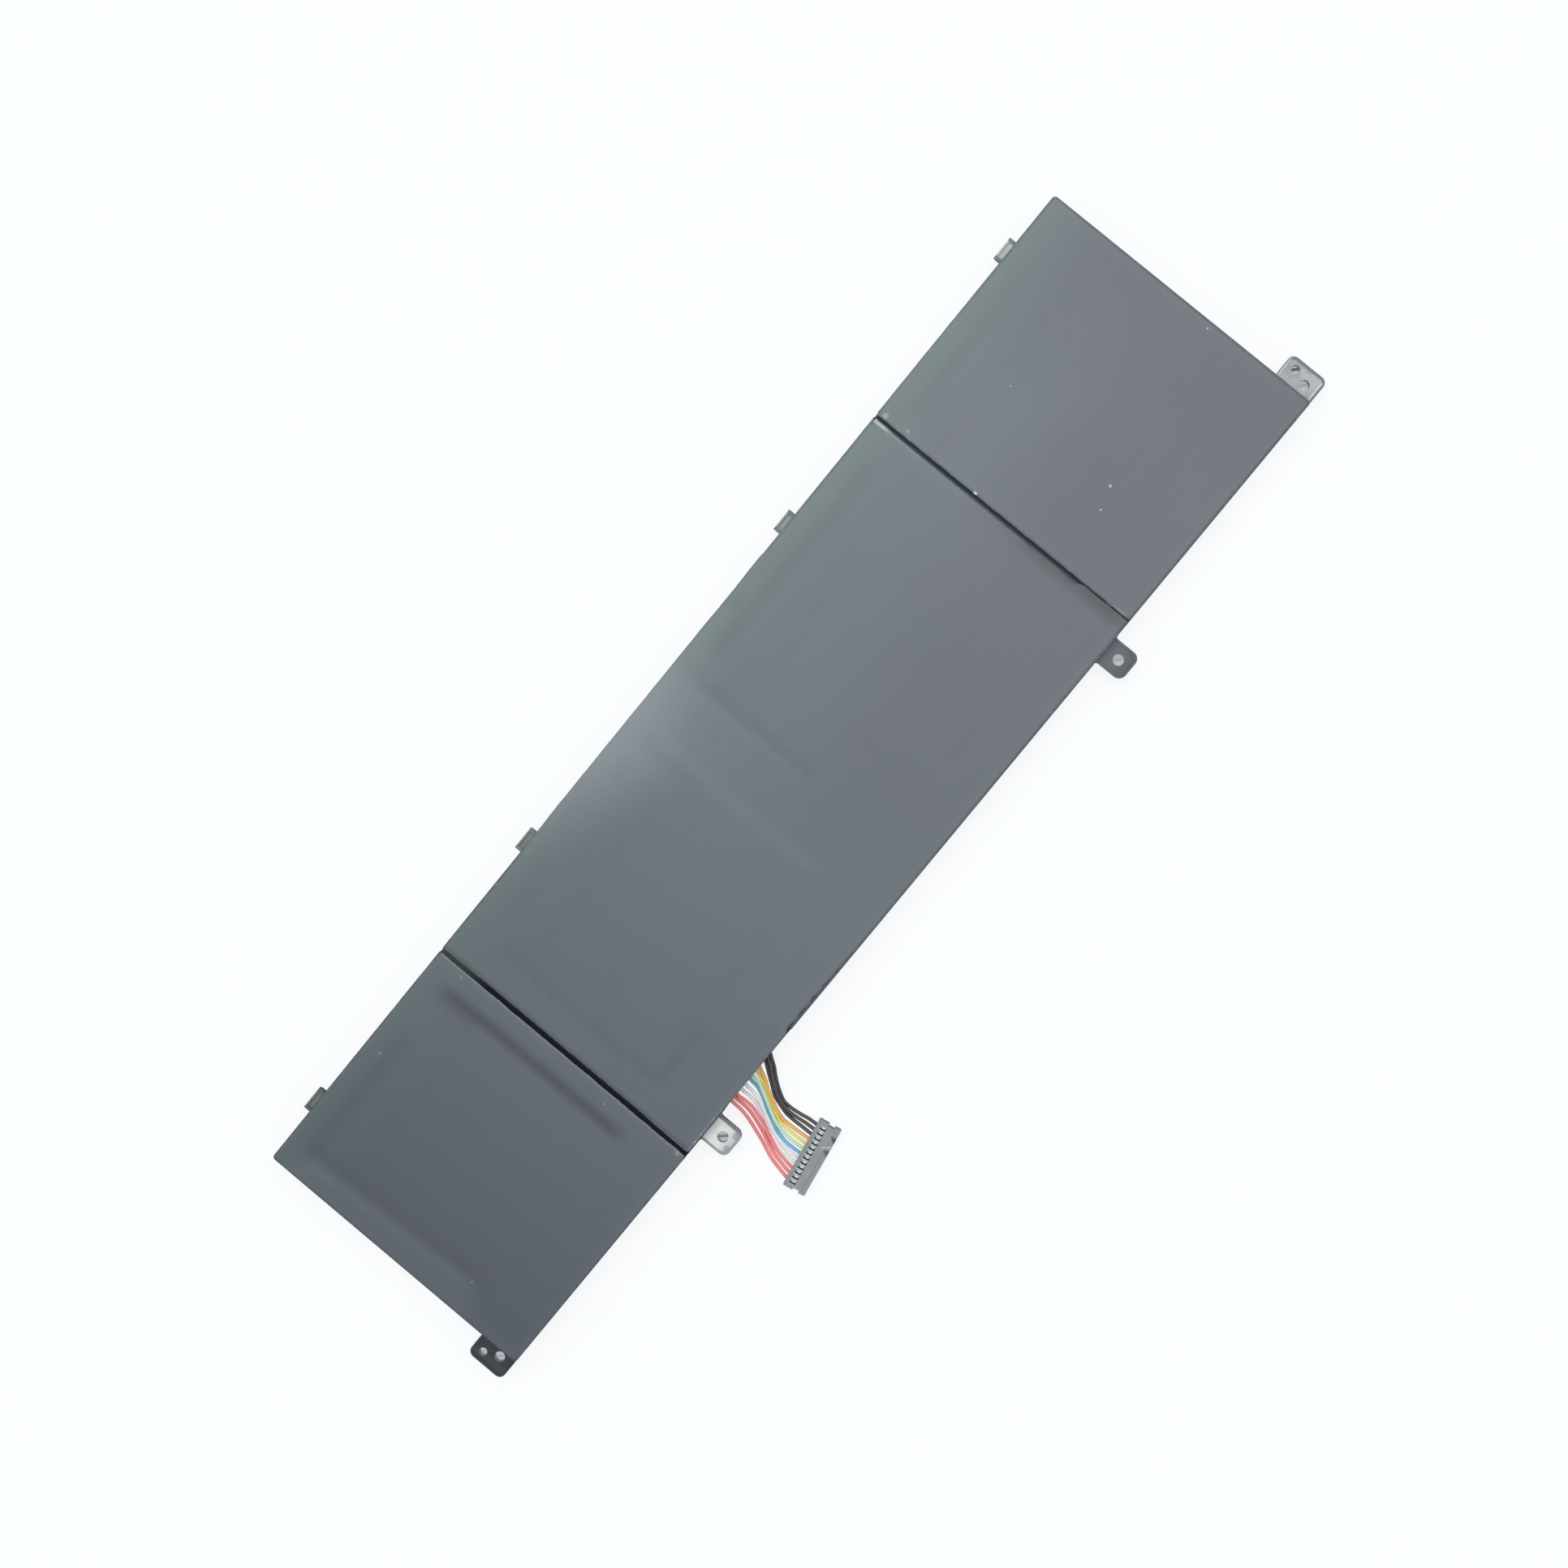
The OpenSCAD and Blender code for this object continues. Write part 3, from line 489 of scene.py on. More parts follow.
# %% Front and rear films in their places
front_levels, rear_levels = (8.0, 7.8), (0.0, 0.2)
front_covers = [
    panel("front_cover_left", left_end, left_seam_left, front_sag, *front_levels),
    panel("front_cover_middle", left_seam_right, right_seam_left, front_sag, *front_levels),
    panel("front_cover_right", right_seam_right, right_end, front_sag, *front_levels)]
rear_cuts = [plain_cut(*cut, 0.05) for cut in ((-68.7, 7.7), (-67.7, 8.1), (67.7, 8.9), (68.7, 9.4))]
rear_covers = [
    panel("rear_cover_left", left_end, rear_cuts[0], rear_sag, *rear_levels, 0.1),
    panel("rear_cover_middle", rear_cuts[1], rear_cuts[2], rear_sag, *rear_levels, 0.1),
    panel("rear_cover_right", rear_cuts[3], right_end, rear_sag, *rear_levels, 0.1)]
for cover in front_covers + rear_covers:
    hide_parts(cover.name.replace("cover", "film"))

# %% [markdown]
# ## Finishes written as arithmetic
# A material in Blender is a graph of nodes. Three small classes let a finish be written as arithmetic
# instead. Tone wraps one output, and adding or multiplying tones adds Math nodes. Graph adds any other node
# through one method.

# %% Tone and Graph
class Tone:
    """A number, colour or vector inside a graph. The operators work on numbers and add Math nodes."""

    def __init__(self, graph, socket):
        self.graph = graph
        self.socket = socket

    def math(self, operation, first, second=0.0):
        return self.graph.node("ShaderNodeMath", {"operation": operation}, {0: first, 1: second})

    def __add__(self, other):
        return self.math("ADD", self, other)

    __radd__ = __add__

    def __sub__(self, other):
        return self.math("SUBTRACT", self, other)

    def __rsub__(self, other):
        return self.math("SUBTRACT", other, self)

    def __mul__(self, other):
        return self.math("MULTIPLY", self, other)

    __rmul__ = __mul__

    def __abs__(self):
        return self.math("ABSOLUTE", self)

    def at_least(self, other):
        return self.math("MAXIMUM", self, other)

    def wave(self):
        return self.math("SINE", self)

    def beside(self, output):
        """Another output of the node that this tone comes from."""
        return Tone(self.graph, self.socket.node.outputs[output])


class Graph:
    """A node graph in the making."""

    def __init__(self, tree):
        self.tree = tree
        self.tree.nodes.clear()

    def node(self, kind, settings, inputs, output=0):
        """Adds a node, gives it its settings, then its inputs as values or links, and returns one output."""
        made = self.tree.nodes.new(kind)
        for key, value in settings.items():
            setattr(made, key, value)
        for key, value in inputs.items():
            if isinstance(value, Tone):
                self.tree.links.new(value.socket, made.inputs[key])
            else:
                made.inputs[key].default_value = value
        return Tone(self, made.outputs[output]) if made.outputs else made


def display(red, green, blue):
    """Colour as an artist reads it from a screen, 0 to 255, turned into the linear values that nodes take."""
    share = np.array([red, green, blue]) / 255
    linear = np.where(share <= 0.04045, share / 12.92, ((share + 0.055) / 1.055) ** 2.4)
    return (*linear.tolist(), 1.0)


print("mid grey on screen is", [round(v, 3) for v in display(128, 128, 128)])

# %% [markdown]
# ## Finish
# The third class is a graph for a material. It brings the place on the object in millimetres, noise, the soft
# shapes from before as nodes, and colours that are laid over each other.

# %% Finish
class Finish(Graph):
    """A material in the making, placed by object coordinates in millimetres."""

    def __init__(self, name):
        self.material = bpy.data.materials.new(name)
        self.material.use_nodes = True
        super().__init__(self.material.node_tree)
        place = self.node("ShaderNodeTexCoord", {}, {}, "Object")
        self.place = self.node("ShaderNodeVectorMath", {"operation": "MULTIPLY"},
                               {0: place, 1: (1000, 1000, 1000)})
        self.x = self.node("ShaderNodeSeparateXYZ", {}, {0: self.place})
        self.y, self.z = self.x.beside(1), self.x.beside(2)

    def noise(self, size, detail=3.0, roughness=0.55, stretch=(1, 1, 1), where=None):
        """Cloudy noise from 0 to 1 whose lumps are about size millimetres across, stretched along an axis."""
        scaled = self.node("ShaderNodeVectorMath", {"operation": "MULTIPLY"},
                           {0: where or self.place, 1: stretch})
        return self.node("ShaderNodeTexNoise", {}, {"Vector": scaled, "Scale": 1 / size, "Detail": detail,
                                                   "Roughness": roughness})

    def rise(self, value, low, high):
        """0 where the value is below low, 1 above high, and a smooth S between."""
        return self.node("ShaderNodeMapRange", {"interpolation_type": "SMOOTHSTEP"},
                         {"Value": value, "From Min": low, "From Max": high})

    def within(self, value, low, high, soft):
        """1 between low and high, with soft ends."""
        return self.rise(value, low - soft, low + soft) * (1 - self.rise(value, high - soft, high + soft))

    def hump(self, offset, half_width):
        """1 where the offset is 0, gone at two half widths."""
        return 1 - self.rise(abs(offset), 0, 2 * half_width)

    def mix(self, mask, first, second):
        """Colour that is first where the mask is 0 and second where it is 1. A tuple is a colour on
        screen."""
        first, second = (display(*tone) if isinstance(tone, tuple) else tone for tone in (first, second))
        return self.node("ShaderNodeMix", {"data_type": "RGBA"}, {0: mask, 6: first, 7: second}, 2)

    def layers(self, colour, *coats):
        """The colour with coats, pairs of a mask and a tone, laid over it one after the other."""
        for mask, tone in coats:
            colour = self.mix(mask, colour, tone)
        return colour

    def spot(self, x, y, radius):
        """1 inside a small round spot seen from above, in millimetres."""
        away = self.node("ShaderNodeVectorMath", {"operation": "DISTANCE"},
                         {0: self.node("ShaderNodeCombineXYZ", {}, {0: self.x, 1: self.y}), 1: (x, y, 0)}, 1)
        return 1 - self.rise(away, radius * 0.5, radius * 1.3)

    def shader(self, colour, roughness, height=None, depth=0.01, **fixed):
        """Principled shader with an optional bump of the given depth in millimetres."""
        inputs = {"Base Color": colour, "Roughness": roughness, **fixed}
        if height is not None:
            inputs["Normal"] = self.node("ShaderNodeBump", {}, {"Height": height, "Distance": depth * MM})
        return self.node("ShaderNodeBsdfPrincipled", {}, inputs)

    def done(self, shader):
        """Joins the shader to the output and returns the material."""
        self.node("ShaderNodeOutputMaterial", {}, {"Surface": shader})
        return self.material

    def surface(self, colour, roughness, height=None, depth=0.01, **fixed):
        """The usual ending: one Principled shader, joined to the output."""
        return self.done(self.shader(colour, roughness, height, depth, **fixed))


def dress(material, *names):
    """Gives solid pieces a finish in place of the plain one they came with."""
    for name in names:
        for slot in nodes[name].material_slots:
            slot.material = material


def numbered(*stems):
    """Names of the four pieces of each kind."""
    return [f"{stem}_{number}" for stem in stems for number in (1, 2, 3, 4)]


print("example of names:", numbered("cell"))

# %% [markdown]
# ## Film finish
# The film is a dark satin plastic, so it shows the softbox as a broad pale veil. Its tone is painted to shift
# as the veil does: darker and bluer at the left end and towards the lugged side on the right, a painted green
# reflection along the hooked edge, where the film bends down, and a painted pale highlight between the two
# middle cells.

# %% Tone of the front film
dust = [(86.1, -12.3, 0.3), (81.4, -13.8, 0.22), (121.2, -7.4, 0.2), (88.9, 15.0, 0.14)]
faint_dust = [(-92.2, 28.3, 0.28), (-69.9, 25.2, 0.28), (-70.9, -12.8, 0.24), (-115.8, -15.0, 0.24),
              (69.6, 25.0, 0.45), (-69.1, -30.15, 0.5)]
seam_fold_highlights = [(66.85, 67.5, 27, 29.5, 0.75), (66.95, 67.35, 13, 26, 0.22), (66.8, 67.7, 30.9, 31.2, 0.5)]


def front_tone(film, cloud):
    """Tone of the front film from end to end and from edge to edge, before any marks, most of it painted
    light.
    """
    x, y, rise, within = film.x, film.y, film.rise, film.within
    green_reflection = film.mix(rise(x, -110, 20), (82, 100, 102), (106, 126, 125))
    low_right = (1 - rise(y, -12, 14)) * rise(x, -40, 20)
    glow = rise(y - abs(x + 13) * 0.45, 12, 37) + within(x, -8, 5, 2) * rise(y, 4, 20) * 0.16
    # Painted light throughout: the base runs from dark at the left end to light, standing in for part of the
    # softbox's veil; the pale patch over the right cell and the glow between the middle cells are painted
    # highlights; the green tint along the hooked edge is a painted reflection; and the right side darkens
    # towards the lugged edge, where the painted veil fades.
    return film.layers(
        film.mix(rise(x, -135, -50), (74, 81, 91), (90, 98, 107)),
        (rise(x, -60, 10), (96, 105, 114)),
        (rise(x, 85, 125) * 0.8, (88, 96, 106)),
        (within(x, 66, 92, 9) * within(y, 6, 24, 6) * 0.05, (150, 158, 164)),
        (rise(y, 16, 36) * (0.5 + cloud * 0.4), green_reflection),
        (low_right * 0.82, (86, 95, 103)),
        (glow * 0.75, (146, 154, 160)))


print("grains of dust:", len(dust) + len(faint_dust))

# %% [markdown]
# ## Marks on the front film
# Each crease is painted with its shade: darker in the dips, and paler where the shade is negative. The right
# seam has a soft painted shade beside it and painted highlights on folded strips along it, the long edge has
# one where it is nibbled, the left seam has a painted shade beside it, and the dust lies on top of
# everything.

# %% Creases, painted shades, highlights on folded strips, and dust
def front_marks(film, colour, highlight_breaks):
    """The colour with all marks of the front, painted shade and highlights among them, and the mask of its
    dust grains.
    """
    x, y, rise, within = film.x, film.y, film.rise, film.within
    # Painted shade along each crease; a negative shade paints a pale highlight instead.
    for crease in creases:
        strength = crease_shape(crease, x, y, film.hump, within) * abs(crease.shade)
        colour = film.mix(strength, colour, (30, 34, 42) if crease.shade > 0 else (190, 200, 206))
    # Painted shade beside the right seam, where the middle panel dips.
    shade = rise(x, 61, 68.2) * rise(x, 64, 67.8) * within(y, -31, -6, 3) * 0.5
    shade = shade + within(x, 65.6, 68.2, 0.8) * (1 - rise(y, -4, 12)) * 0.2
    # Painted highlights on folded strips and a painted glint at the top of the right seam.
    fold_highlight = film.spot(69.2, 30.25, 0.65) * 0.5
    for low, high, start, end, strength in seam_fold_highlights:
        fold_highlight = fold_highlight + within(x, low, high, 0.1) * rise(y, start, end) * strength
    fold_highlight = fold_highlight + within(x, 68.5, 68.85, 0.1) * within(y, -30.5, -27.5, 0.6) * 0.3
    fold_highlight = fold_highlight + within(x, 68.4, 68.7, 0.08) * within(y, 23, 28.5, 1) * highlight_breaks * 0.5
    nibbled = within(y, -31.55, -31.2, 0.06) * within(x, -67.3, -55.8, 0.8)
    fold_highlight = fold_highlight + nibbled * (0.3 + highlight_breaks) * 0.6
    grains = film.spot(68.5, 7.1, 0.42)
    for places, strength in ((dust, 0.75), (faint_dust, 0.2)):
        for place in places:
            grains = grains.at_least(film.spot(*place) * strength)
    colour = film.layers(
        colour,
        (shade * (1 - rise(x, 68.1, 68.3)), (36, 42, 50)),
        # painted shade on the middle panel beside the left seam
        (within(x, -68, -67, 0.4) * 0.35, (34, 40, 48)),
        (fold_highlight, (184, 188, 182)),
        (grains, (226, 230, 230)))
    return colour, grains


def film_finish(name, is_front):
    """Satin film: its tone, creases, painted highlights on cut edges and folded strips, a painted sheen near
    the edges, dust, and a fine grain.
    """
    film = Finish(name)
    cloud = film.noise(26, 2.0)
    mottle = film.noise(5, 3.0, stretch=(0.5, 1, 1))
    grain = film.noise(0.16, 2.0)
    rubbed = film.noise(1.1, 3.0, stretch=(0.06, 1, 1))
    colour = front_tone(film, cloud) if is_front else film.mix(cloud, (68, 75, 84), (84, 92, 100))
    edge = film.node("ShaderNodeAttribute", {"attribute_name": "from_edge"}, {}, "Fac")
    # Noise that breaks the painted highlights along the cut edges into dashes.
    highlight_breaks = film.rise(film.noise(1.3, 3.0), 0.5, 0.66)
    colour = film.layers(
        colour,
        (film.rise(mottle, 0.5, 0.75) * 0.1, (70, 76, 80)),
        # a painted sheen near the edges, where the film rolls down, and painted highlights along the cut
        ((1 - film.rise(edge, 0.3, 2.6)) * 0.05, (150, 156, 160)),
        ((1 - film.rise(edge, 0.03, 0.14)) * highlight_breaks * 0.6, (170, 176, 178)))
    rough = 0.34 + cloud * 0.06 + rubbed * 0.05
    if is_front:
        colour, grains = front_marks(film, colour, highlight_breaks)
        rough = rough + grains * 0.4
    return film.surface(colour, rough, grain * 0.6 + rubbed * 0.4, 0.006)


front_film = film_finish("satin film on the front", True)
rear_film = film_finish("satin film on the rear", False)
for cover in front_covers:
    cover.data.materials.append(front_film)
for cover in rear_covers:
    cover.data.materials.append(rear_film)
print("film finish nodes:", len(front_film.node_tree.nodes))

# %% [markdown]
# ## Frame
# The tray is one moulding in black plastic with a fine spark texture. The lugs and hooks, which are screwed
# and pressed down, are painted pale grey with reflections of the lamps: one side lug and the right end lug
# most of all, the other side lug less, and the left end lug not at all: it is painted darker than the frame.
# Box-shaped masks say where.

# %% Frame plastic and its pale rims
plastic = Finish("black frame plastic")
x, y, z = plastic.x, plastic.y, plastic.z
rise, within, mix, spot = plastic.rise, plastic.within, plastic.mix, plastic.spot
spark = plastic.noise(0.22, 2.0)
scuff_and_sheen = plastic.noise(1.3, 4.0)
patch = plastic.noise(3.4, 2.0)
top_rim = rise(z, 7.55, 7.8)
open_rim = top_rim * (rise(y, 31, 31.5) + rise(x, 122.3, 122.6)) * rise(x, -90, 40)
colour = plastic.layers(
    mix(patch, (26, 31, 39), (50, 56, 64)),
    (top_rim * (0.2 + 0.3 * scuff_and_sheen), (84, 92, 98)),
    (open_rim * 0.8, (96, 108, 112)))
print("frame plastic nodes so far:", len(plastic.tree.nodes))

# %% [markdown]
# ## Lugs
# Each lug has a low rim, painted in another tone than its face, and on the pale side lug darker where it
# turns from the light. The inner wall of the pale side lug is painted with light and shade, and the walls of
# the screw holes are painted pale with light.

# %% Lug faces, rims and walls
lug_top, rim_top, hole_foot = 4.62, 4.84, 2.86
lug_face = rise(z, lug_top, 4.7)
lug_rim = rise(z, rim_top, 4.9)
beside_body = 1 - rise(y, wall_y - 0.1, wall_y)


def beside(low, high):
    """1 over the side lugs' reach from low to high, outside the wall."""
    return within(x, low, high, 0.05) * beside_body


# Where the painted reflection on the pale side lug is fainter: two spots and its outer end.
low_spots = spot(-62.7, -37.2, 0.7) + spot(-59.6, -37.1, 0.8)
fainter_reflection = low_spots * 0.7 + (1 - rise(y, -38, -35)) * 0.6
# Painted reflections of the lamps on the pale side lug and the right end lug; the side lug's rim is painted
# darker where it turns from the light.
side_face = mix(rise(patch, 0.3, 0.6), (226, 231, 232), (250, 251, 246))
side_face = mix(fainter_reflection, side_face, (172, 178, 182))
side_rim = mix(rise(x, -59.0, -58.6), (156, 162, 164), (118, 124, 134))
end_face = mix(rise(patch, 0.38, 0.62), (161, 165, 170), (187, 191, 196))
right_end_lug = rise(x, 122.72, 122.8) * lug_face
# Painted sheen on the other side lug, fading towards its outer end, and painted light and shade on the pale
# side lug's inner wall, pale away from the body and shaded near it.
right_lug_sheen = mix(rise(y, -37.5, -32.5), (74, 81, 91), (96, 103, 114))
inner_wall = mix(rise(y, -35, -32.5), (150, 156, 166), (96, 102, 112))
colour = plastic.layers(
    colour,
    (beside(58.0, 64.6) * lug_face * 0.95, right_lug_sheen),
    (beside(-58.55, -58.0) * within(z, hole_foot, 4.7, 0.05) * 0.9, inner_wall),
    (within(x, -126, -122.9, 0.7) * lug_face * 0.9, (14, 22, 36)),
    (beside(-64.6, -58.0) * lug_face, mix(lug_rim, side_face, side_rim)),
    (right_end_lug, mix(lug_rim, end_face, (112, 116, 122))))
# The walls of the screw holes are painted pale with light.
screw_holes = [(-61.3, -35.1, 2.0), (61.3, -35.1, 2.0), (-124.8, -28.8, 2.0), (-126.2, -25.6, 1.6),
               (124.8, -28.8, 2.0), (126.2, -25.6, 1.6)]
hole_wall = spot(*screw_holes[0])
for hole in screw_holes[1:]:
    hole_wall = hole_wall.at_least(spot(*hole))
# Painted highlights along the long rims of the right end lug.
shine_line = within(y, -23.75, -23.45, 0.06) + within(y, -31.4, -31.1, 0.06)
colour = plastic.layers(
    colour,
    (hole_wall * within(z, hole_foot, 4.64, 0.03), (196, 203, 212)),
    (right_end_lug * shine_line * within(x, 123, 127.2, 0.3) * (0.3 + scuff_and_sheen), (236, 238, 242)))
print("frame plastic nodes with the lugs:", len(plastic.tree.nodes))

# %% [markdown]
# ## Hooks, gap and grooves
# The four hooks have cheeks and a dish painted pale with reflections of the lamps, each in its own tone.
# Beside the notch a painted shadow shows the rim as a dark dashed gap. The grooves under the seams are
# painted
# in shade: they get a second, dull dark shader, and a mask mixes the two.

# %% Hooks' painted reflections, the painted shadow beside the notch and the shaded seam grooves
hook_reflection_tones = [(-108.9, (94, 98, 97), (128, 135, 133)), (-40.8, (122, 129, 127), (136, 145, 143)),
              (40.8, (114, 119, 121), (164, 174, 175)), (108.9, (116, 120, 118), (214, 224, 220))]
hook_half, dish_half = 3, 1.8
hook_top = rise(y, 31.92, 31.98) * rise(z, 4.3, 4.42)
# Painted reflections of the lamps on each hook's cheeks and dish.
for middle, cheek_tone, dish_tone in hook_reflection_tones:
    cheek = hook_top * within(x, middle - hook_half, middle + hook_half, 0.2)
    dish = hook_top * within(x, middle - dish_half, middle + dish_half, 0.15)
    colour = plastic.layers(colour, (cheek, cheek_tone), (dish * (0.85 + 0.5 * (patch - 0.5)), dish_tone))
# Painted shadow, in dashes, in the gap between the film's edge and the rim beside the notch.
notch_gap_shadow = within(x, -36.4, -8, 0.3) * within(y, -31.5, -31.0, 0.05)
dashes = rise((x * 1.745).wave(), -0.6, 0.2) * rise(z, 7.6, 7.7)
colour = mix(notch_gap_shadow * dashes * 0.8, colour, (20, 22, 26))
dull = plastic.shader(colour, 0.38 + 0.14 * scuff_and_sheen, spark * 0.7 + scuff_and_sheen * 0.3, 0.02)
# Painted shade in the seam grooves: a dull dark shader where the mask is 1.
groove = within(abs(x), 67.2, 69.2, 0.05) * rise(z, 6.0, 6.2)
shade = mix(rise(y, 19, 28), (32, 38, 48), (84, 94, 94))
shade = mix(rise(x, -1, 1), shade, (80, 87, 99))
shadow = plastic.shader(shade, 0.7, **{"Specular IOR Level": 0.15})
dress(plastic.done(plastic.node("ShaderNodeMixShader", {}, {0: groove, 1: dull, 2: shadow})), "frame")
print("frame plastic nodes in all:", len(plastic.tree.nodes))

# %% [markdown]
# ## Wire sleeves
# The sleeves are soft vinyl, slightly glossy and without print, with a faint waviness from the strands
# inside. One function makes all seven colours. The map that came with each tube runs along the wire, so the
# marks do too.

# %% Sleeves in seven colours
sleeve_tones = {
    "wire_black": (50, 50, 53), "wire_orange": (255, 186, 96), "wire_yellow": (250, 240, 132),
    "wire_green": (216, 240, 200), "wire_blue": (104, 186, 230), "wire_white": (252, 252, 254),
    "wire_red": (254, 134, 136)}


def sleeve_finish(name, tone):
    """Vinyl sleeve: the tone, a little paler where it is rubbed, with fine lengthwise drawing marks."""
    sleeve = Finish(name)
    along = sleeve.node("ShaderNodeUVMap", {"uv_map": "along"}, {})
    drawn = sleeve.noise(0.5, 3.0, stretch=(0.12, 9, 1), where=along)
    smudge = sleeve.noise(2.2, 3.0)
    paler = tuple(np.minimum(np.array(tone) * 0.8 + 54, 248))
    darker = tuple(np.array(tone) * 0.88)
    colour = sleeve.mix(smudge * 0.7, tone, paler)
    colour = sleeve.mix(sleeve.rise(drawn, 0.5, 0.8) * 0.35, colour, darker)
    return sleeve.surface(colour, 0.3 + 0.15 * smudge, drawn, 0.01)


for key, tone in sleeve_tones.items():
    sleeve = sleeve_finish(key.replace("_", " ") + " sleeve", tone)
    for wire in wires:
        if wire.name.startswith("soft_" + key):
            wire.data.materials.append(sleeve)
print("sleeves:", ", ".join(sleeve_tones))

# %% [markdown]
# ## Plug
# The plug is grey nylon, moulded thin and slightly mottled, with tin-plated contacts that glint through a row
# of windows. Two keying ramps at its mating edge throw short shadows. It lies turned by ten degrees, so its
# finish first turns the place back into the plug's own frame: u runs along the plug, v from the mating side
# to the wires.

# %% Plug axes and ramp shadows
def plug_axes(finish):
    """Place along and across the plug, in millimetres from its middle."""
    cos, sin = float(np.cos(plug_turn)), float(np.sin(plug_turn))
    east, north = finish.x - float(plug_place[0]), finish.y - float(plug_place[1])
    return east * cos + north * sin, north * cos - east * sin


def wedge(finish, u, v, left, right, apex):
    """Triangular shadow on the mating edge, from left to right at its foot, with its tip at apex (u, v)."""
    foot = -plug_half
    left_slope, right_slope = (apex[0] - left) / (apex[1] - foot), (apex[0] - right) / (apex[1] - foot)
    inside_left = finish.rise(u - (v - foot) * left_slope, left - 0.05, left + 0.2)
    inside_right = 1 - finish.rise(u - (v - foot) * right_slope, right - 0.2, right + 0.05)
    return inside_left * inside_right * (1 - finish.rise(v, apex[1] - 0.2, apex[1]))


print("plug turned by degrees:", round(float(np.degrees(plug_turn)), 1))

# %% [markdown]
# ## Nylon and tin
# The housing darkens towards the table. Each rib between its windows is painted with a pale highlight, the
# tin of the contacts is painted brighter towards the mating end, where it glints, and painted shade darkens
# it deep inside.

# %% Housing and contacts
nylon = Finish("grey nylon")
u, v = plug_axes(nylon)
patch = nylon.noise(1.9, 3.0)
fine = nylon.noise(0.14, 2.0)
in_way = nylon.node("ShaderNodeMath", {"operation": "PINGPONG"}, {0: u, 1: way_pitch / 2})
# Painted highlight on each rib between the windows.
rib_highlights = (1 - nylon.rise(in_way, 0.14, 0.24)) * nylon.within(v, 0.3, 1.6, 0.12)
rib_highlights = rib_highlights * (1 - nylon.rise(abs(u), 6.5, 6.8))
ramp_lean, ramp_place = 0.536, 2.405
# Painted glint along a keying ramp.
ramp_glint = 1 - nylon.rise(abs(u + v * ramp_lean - ramp_place), 0.08, 0.24)
colour = nylon.layers(
    nylon.mix(patch, (132, 139, 147), (158, 164, 166)),
    ((1 - nylon.rise(nylon.z, 0.9, 2.1)) * 0.8, (70, 74, 78)),
    (nylon.within(v, 1.6, 2.2, 0.2) * 0.3, (132, 148, 126)),
    # painted shadows of the two keying ramps
    (wedge(nylon, u, v, 1.45, 2.95, (2.45, -0.95)) * 0.95, (72, 80, 80)),
    (wedge(nylon, u, v, 4.35, 5.75, (5.65, -1.0)) * 0.95, (50, 52, 54)),
    (rib_highlights * 0.6, (214, 222, 224)),
    (ramp_glint * nylon.within(v, -2.2, -0.7, 0.15) * 0.7, (206, 214, 212)))
dress(nylon.surface(colour, 0.36 + 0.15 * patch, fine * 0.6 + patch * 0.4, 0.02), "plug_housing")

tin = Finish("tin plate")
u, v = plug_axes(tin)
stamped = tin.noise(0.3, 2.0, stretch=(1, 0.2, 1))
# Painted shade on the tin deep inside the windows.
deep = (1 - tin.rise(tin.z, 1.95, 2.15)) * tin.within(v, 0.2, 1.8, 0.1)
colour = tin.layers(
    tin.mix(stamped, (196, 200, 202), (222, 224, 224)),
    # painted: the tin is brighter towards the mating end, where it glints
    (tin.rise(v, 0.7, 1.4) * 0.4, (160, 166, 172)),
    (deep * 0.85, (48, 52, 58)))
dress(tin.surface(colour, 0.3 + 0.15 * stamped, stamped, 0.004, Metallic=0.35), "plug_contacts")
tongues.data.materials.append(tin.material)
print("plug finishes made")

# %% [markdown]
# ## Cells, tabs and leads
# Inside the tray the cells are pouches of aluminium laminate with a soft pressed texture. Their tabs are
# aluminium and nickel-plated copper, and flat nickel strips carry the end cells' current to the board. A
# reused part may be opened, so each gets its own finish.

# %% Pouch, tab, nickel and adhesive
foil = Finish("pouch laminate")
quilt = foil.noise(0.9, 2.0)
crinkle = foil.noise(7, 4.0, stretch=(1, 0.35, 1))
colour = foil.mix(crinkle, (176, 178, 181), (204, 206, 208))
colour = foil.mix(foil.rise(crinkle, 0.6, 0.75) * 0.4, colour, (150, 152, 156))
dress(foil.surface(colour, 0.3 + 0.15 * crinkle, quilt * 0.5 + crinkle * 0.5, 0.05, Metallic=0.75),
      *numbered("cell"))


def strip_finish(name, low, high, metallic):
    """Rolled metal strip: fine lines along its length and a few dull patches."""
    strip = Finish(name)
    rolled = strip.noise(0.5, 3.0, stretch=(0.1, 3, 1))
    dull_patch = strip.noise(2.5, 2.0)
    colour = strip.mix(rolled, low, high)
    return strip.surface(colour, 0.26 + 0.2 * dull_patch, rolled, 0.004, Metallic=metallic)


dress(strip_finish("aluminium tab", (196, 197, 200), (224, 225, 228), 0.85), *numbered("positive_tab"))
dress(strip_finish("nickel strip", (184, 180, 168), (216, 212, 200), 0.9), *numbered("negative_tab"),
      "left_short_lead", "left_long_lead", "right_short_lead", "right_long_lead")


def mottled_finish(name, low, high, grain, rough, swing=0.15, depth=0.01, **fixed):
    """Two near tones mottled together by one noise, which the roughness and the bump follow too."""
    body = Finish(name)
    mottled = body.noise(*grain)
    return body.surface(body.mix(mottled, low, high), rough + swing * mottled, mottled, depth, **fixed)


pad_grain = (0.4, 4, 0.55, (1, 0.3, 1))
dress(mottled_finish("adhesive pad", (214, 212, 202), (236, 235, 228), pad_grain, 0.6, 0.2, 0.02),
      *numbered("cell_pad"))
print("inner finishes made")

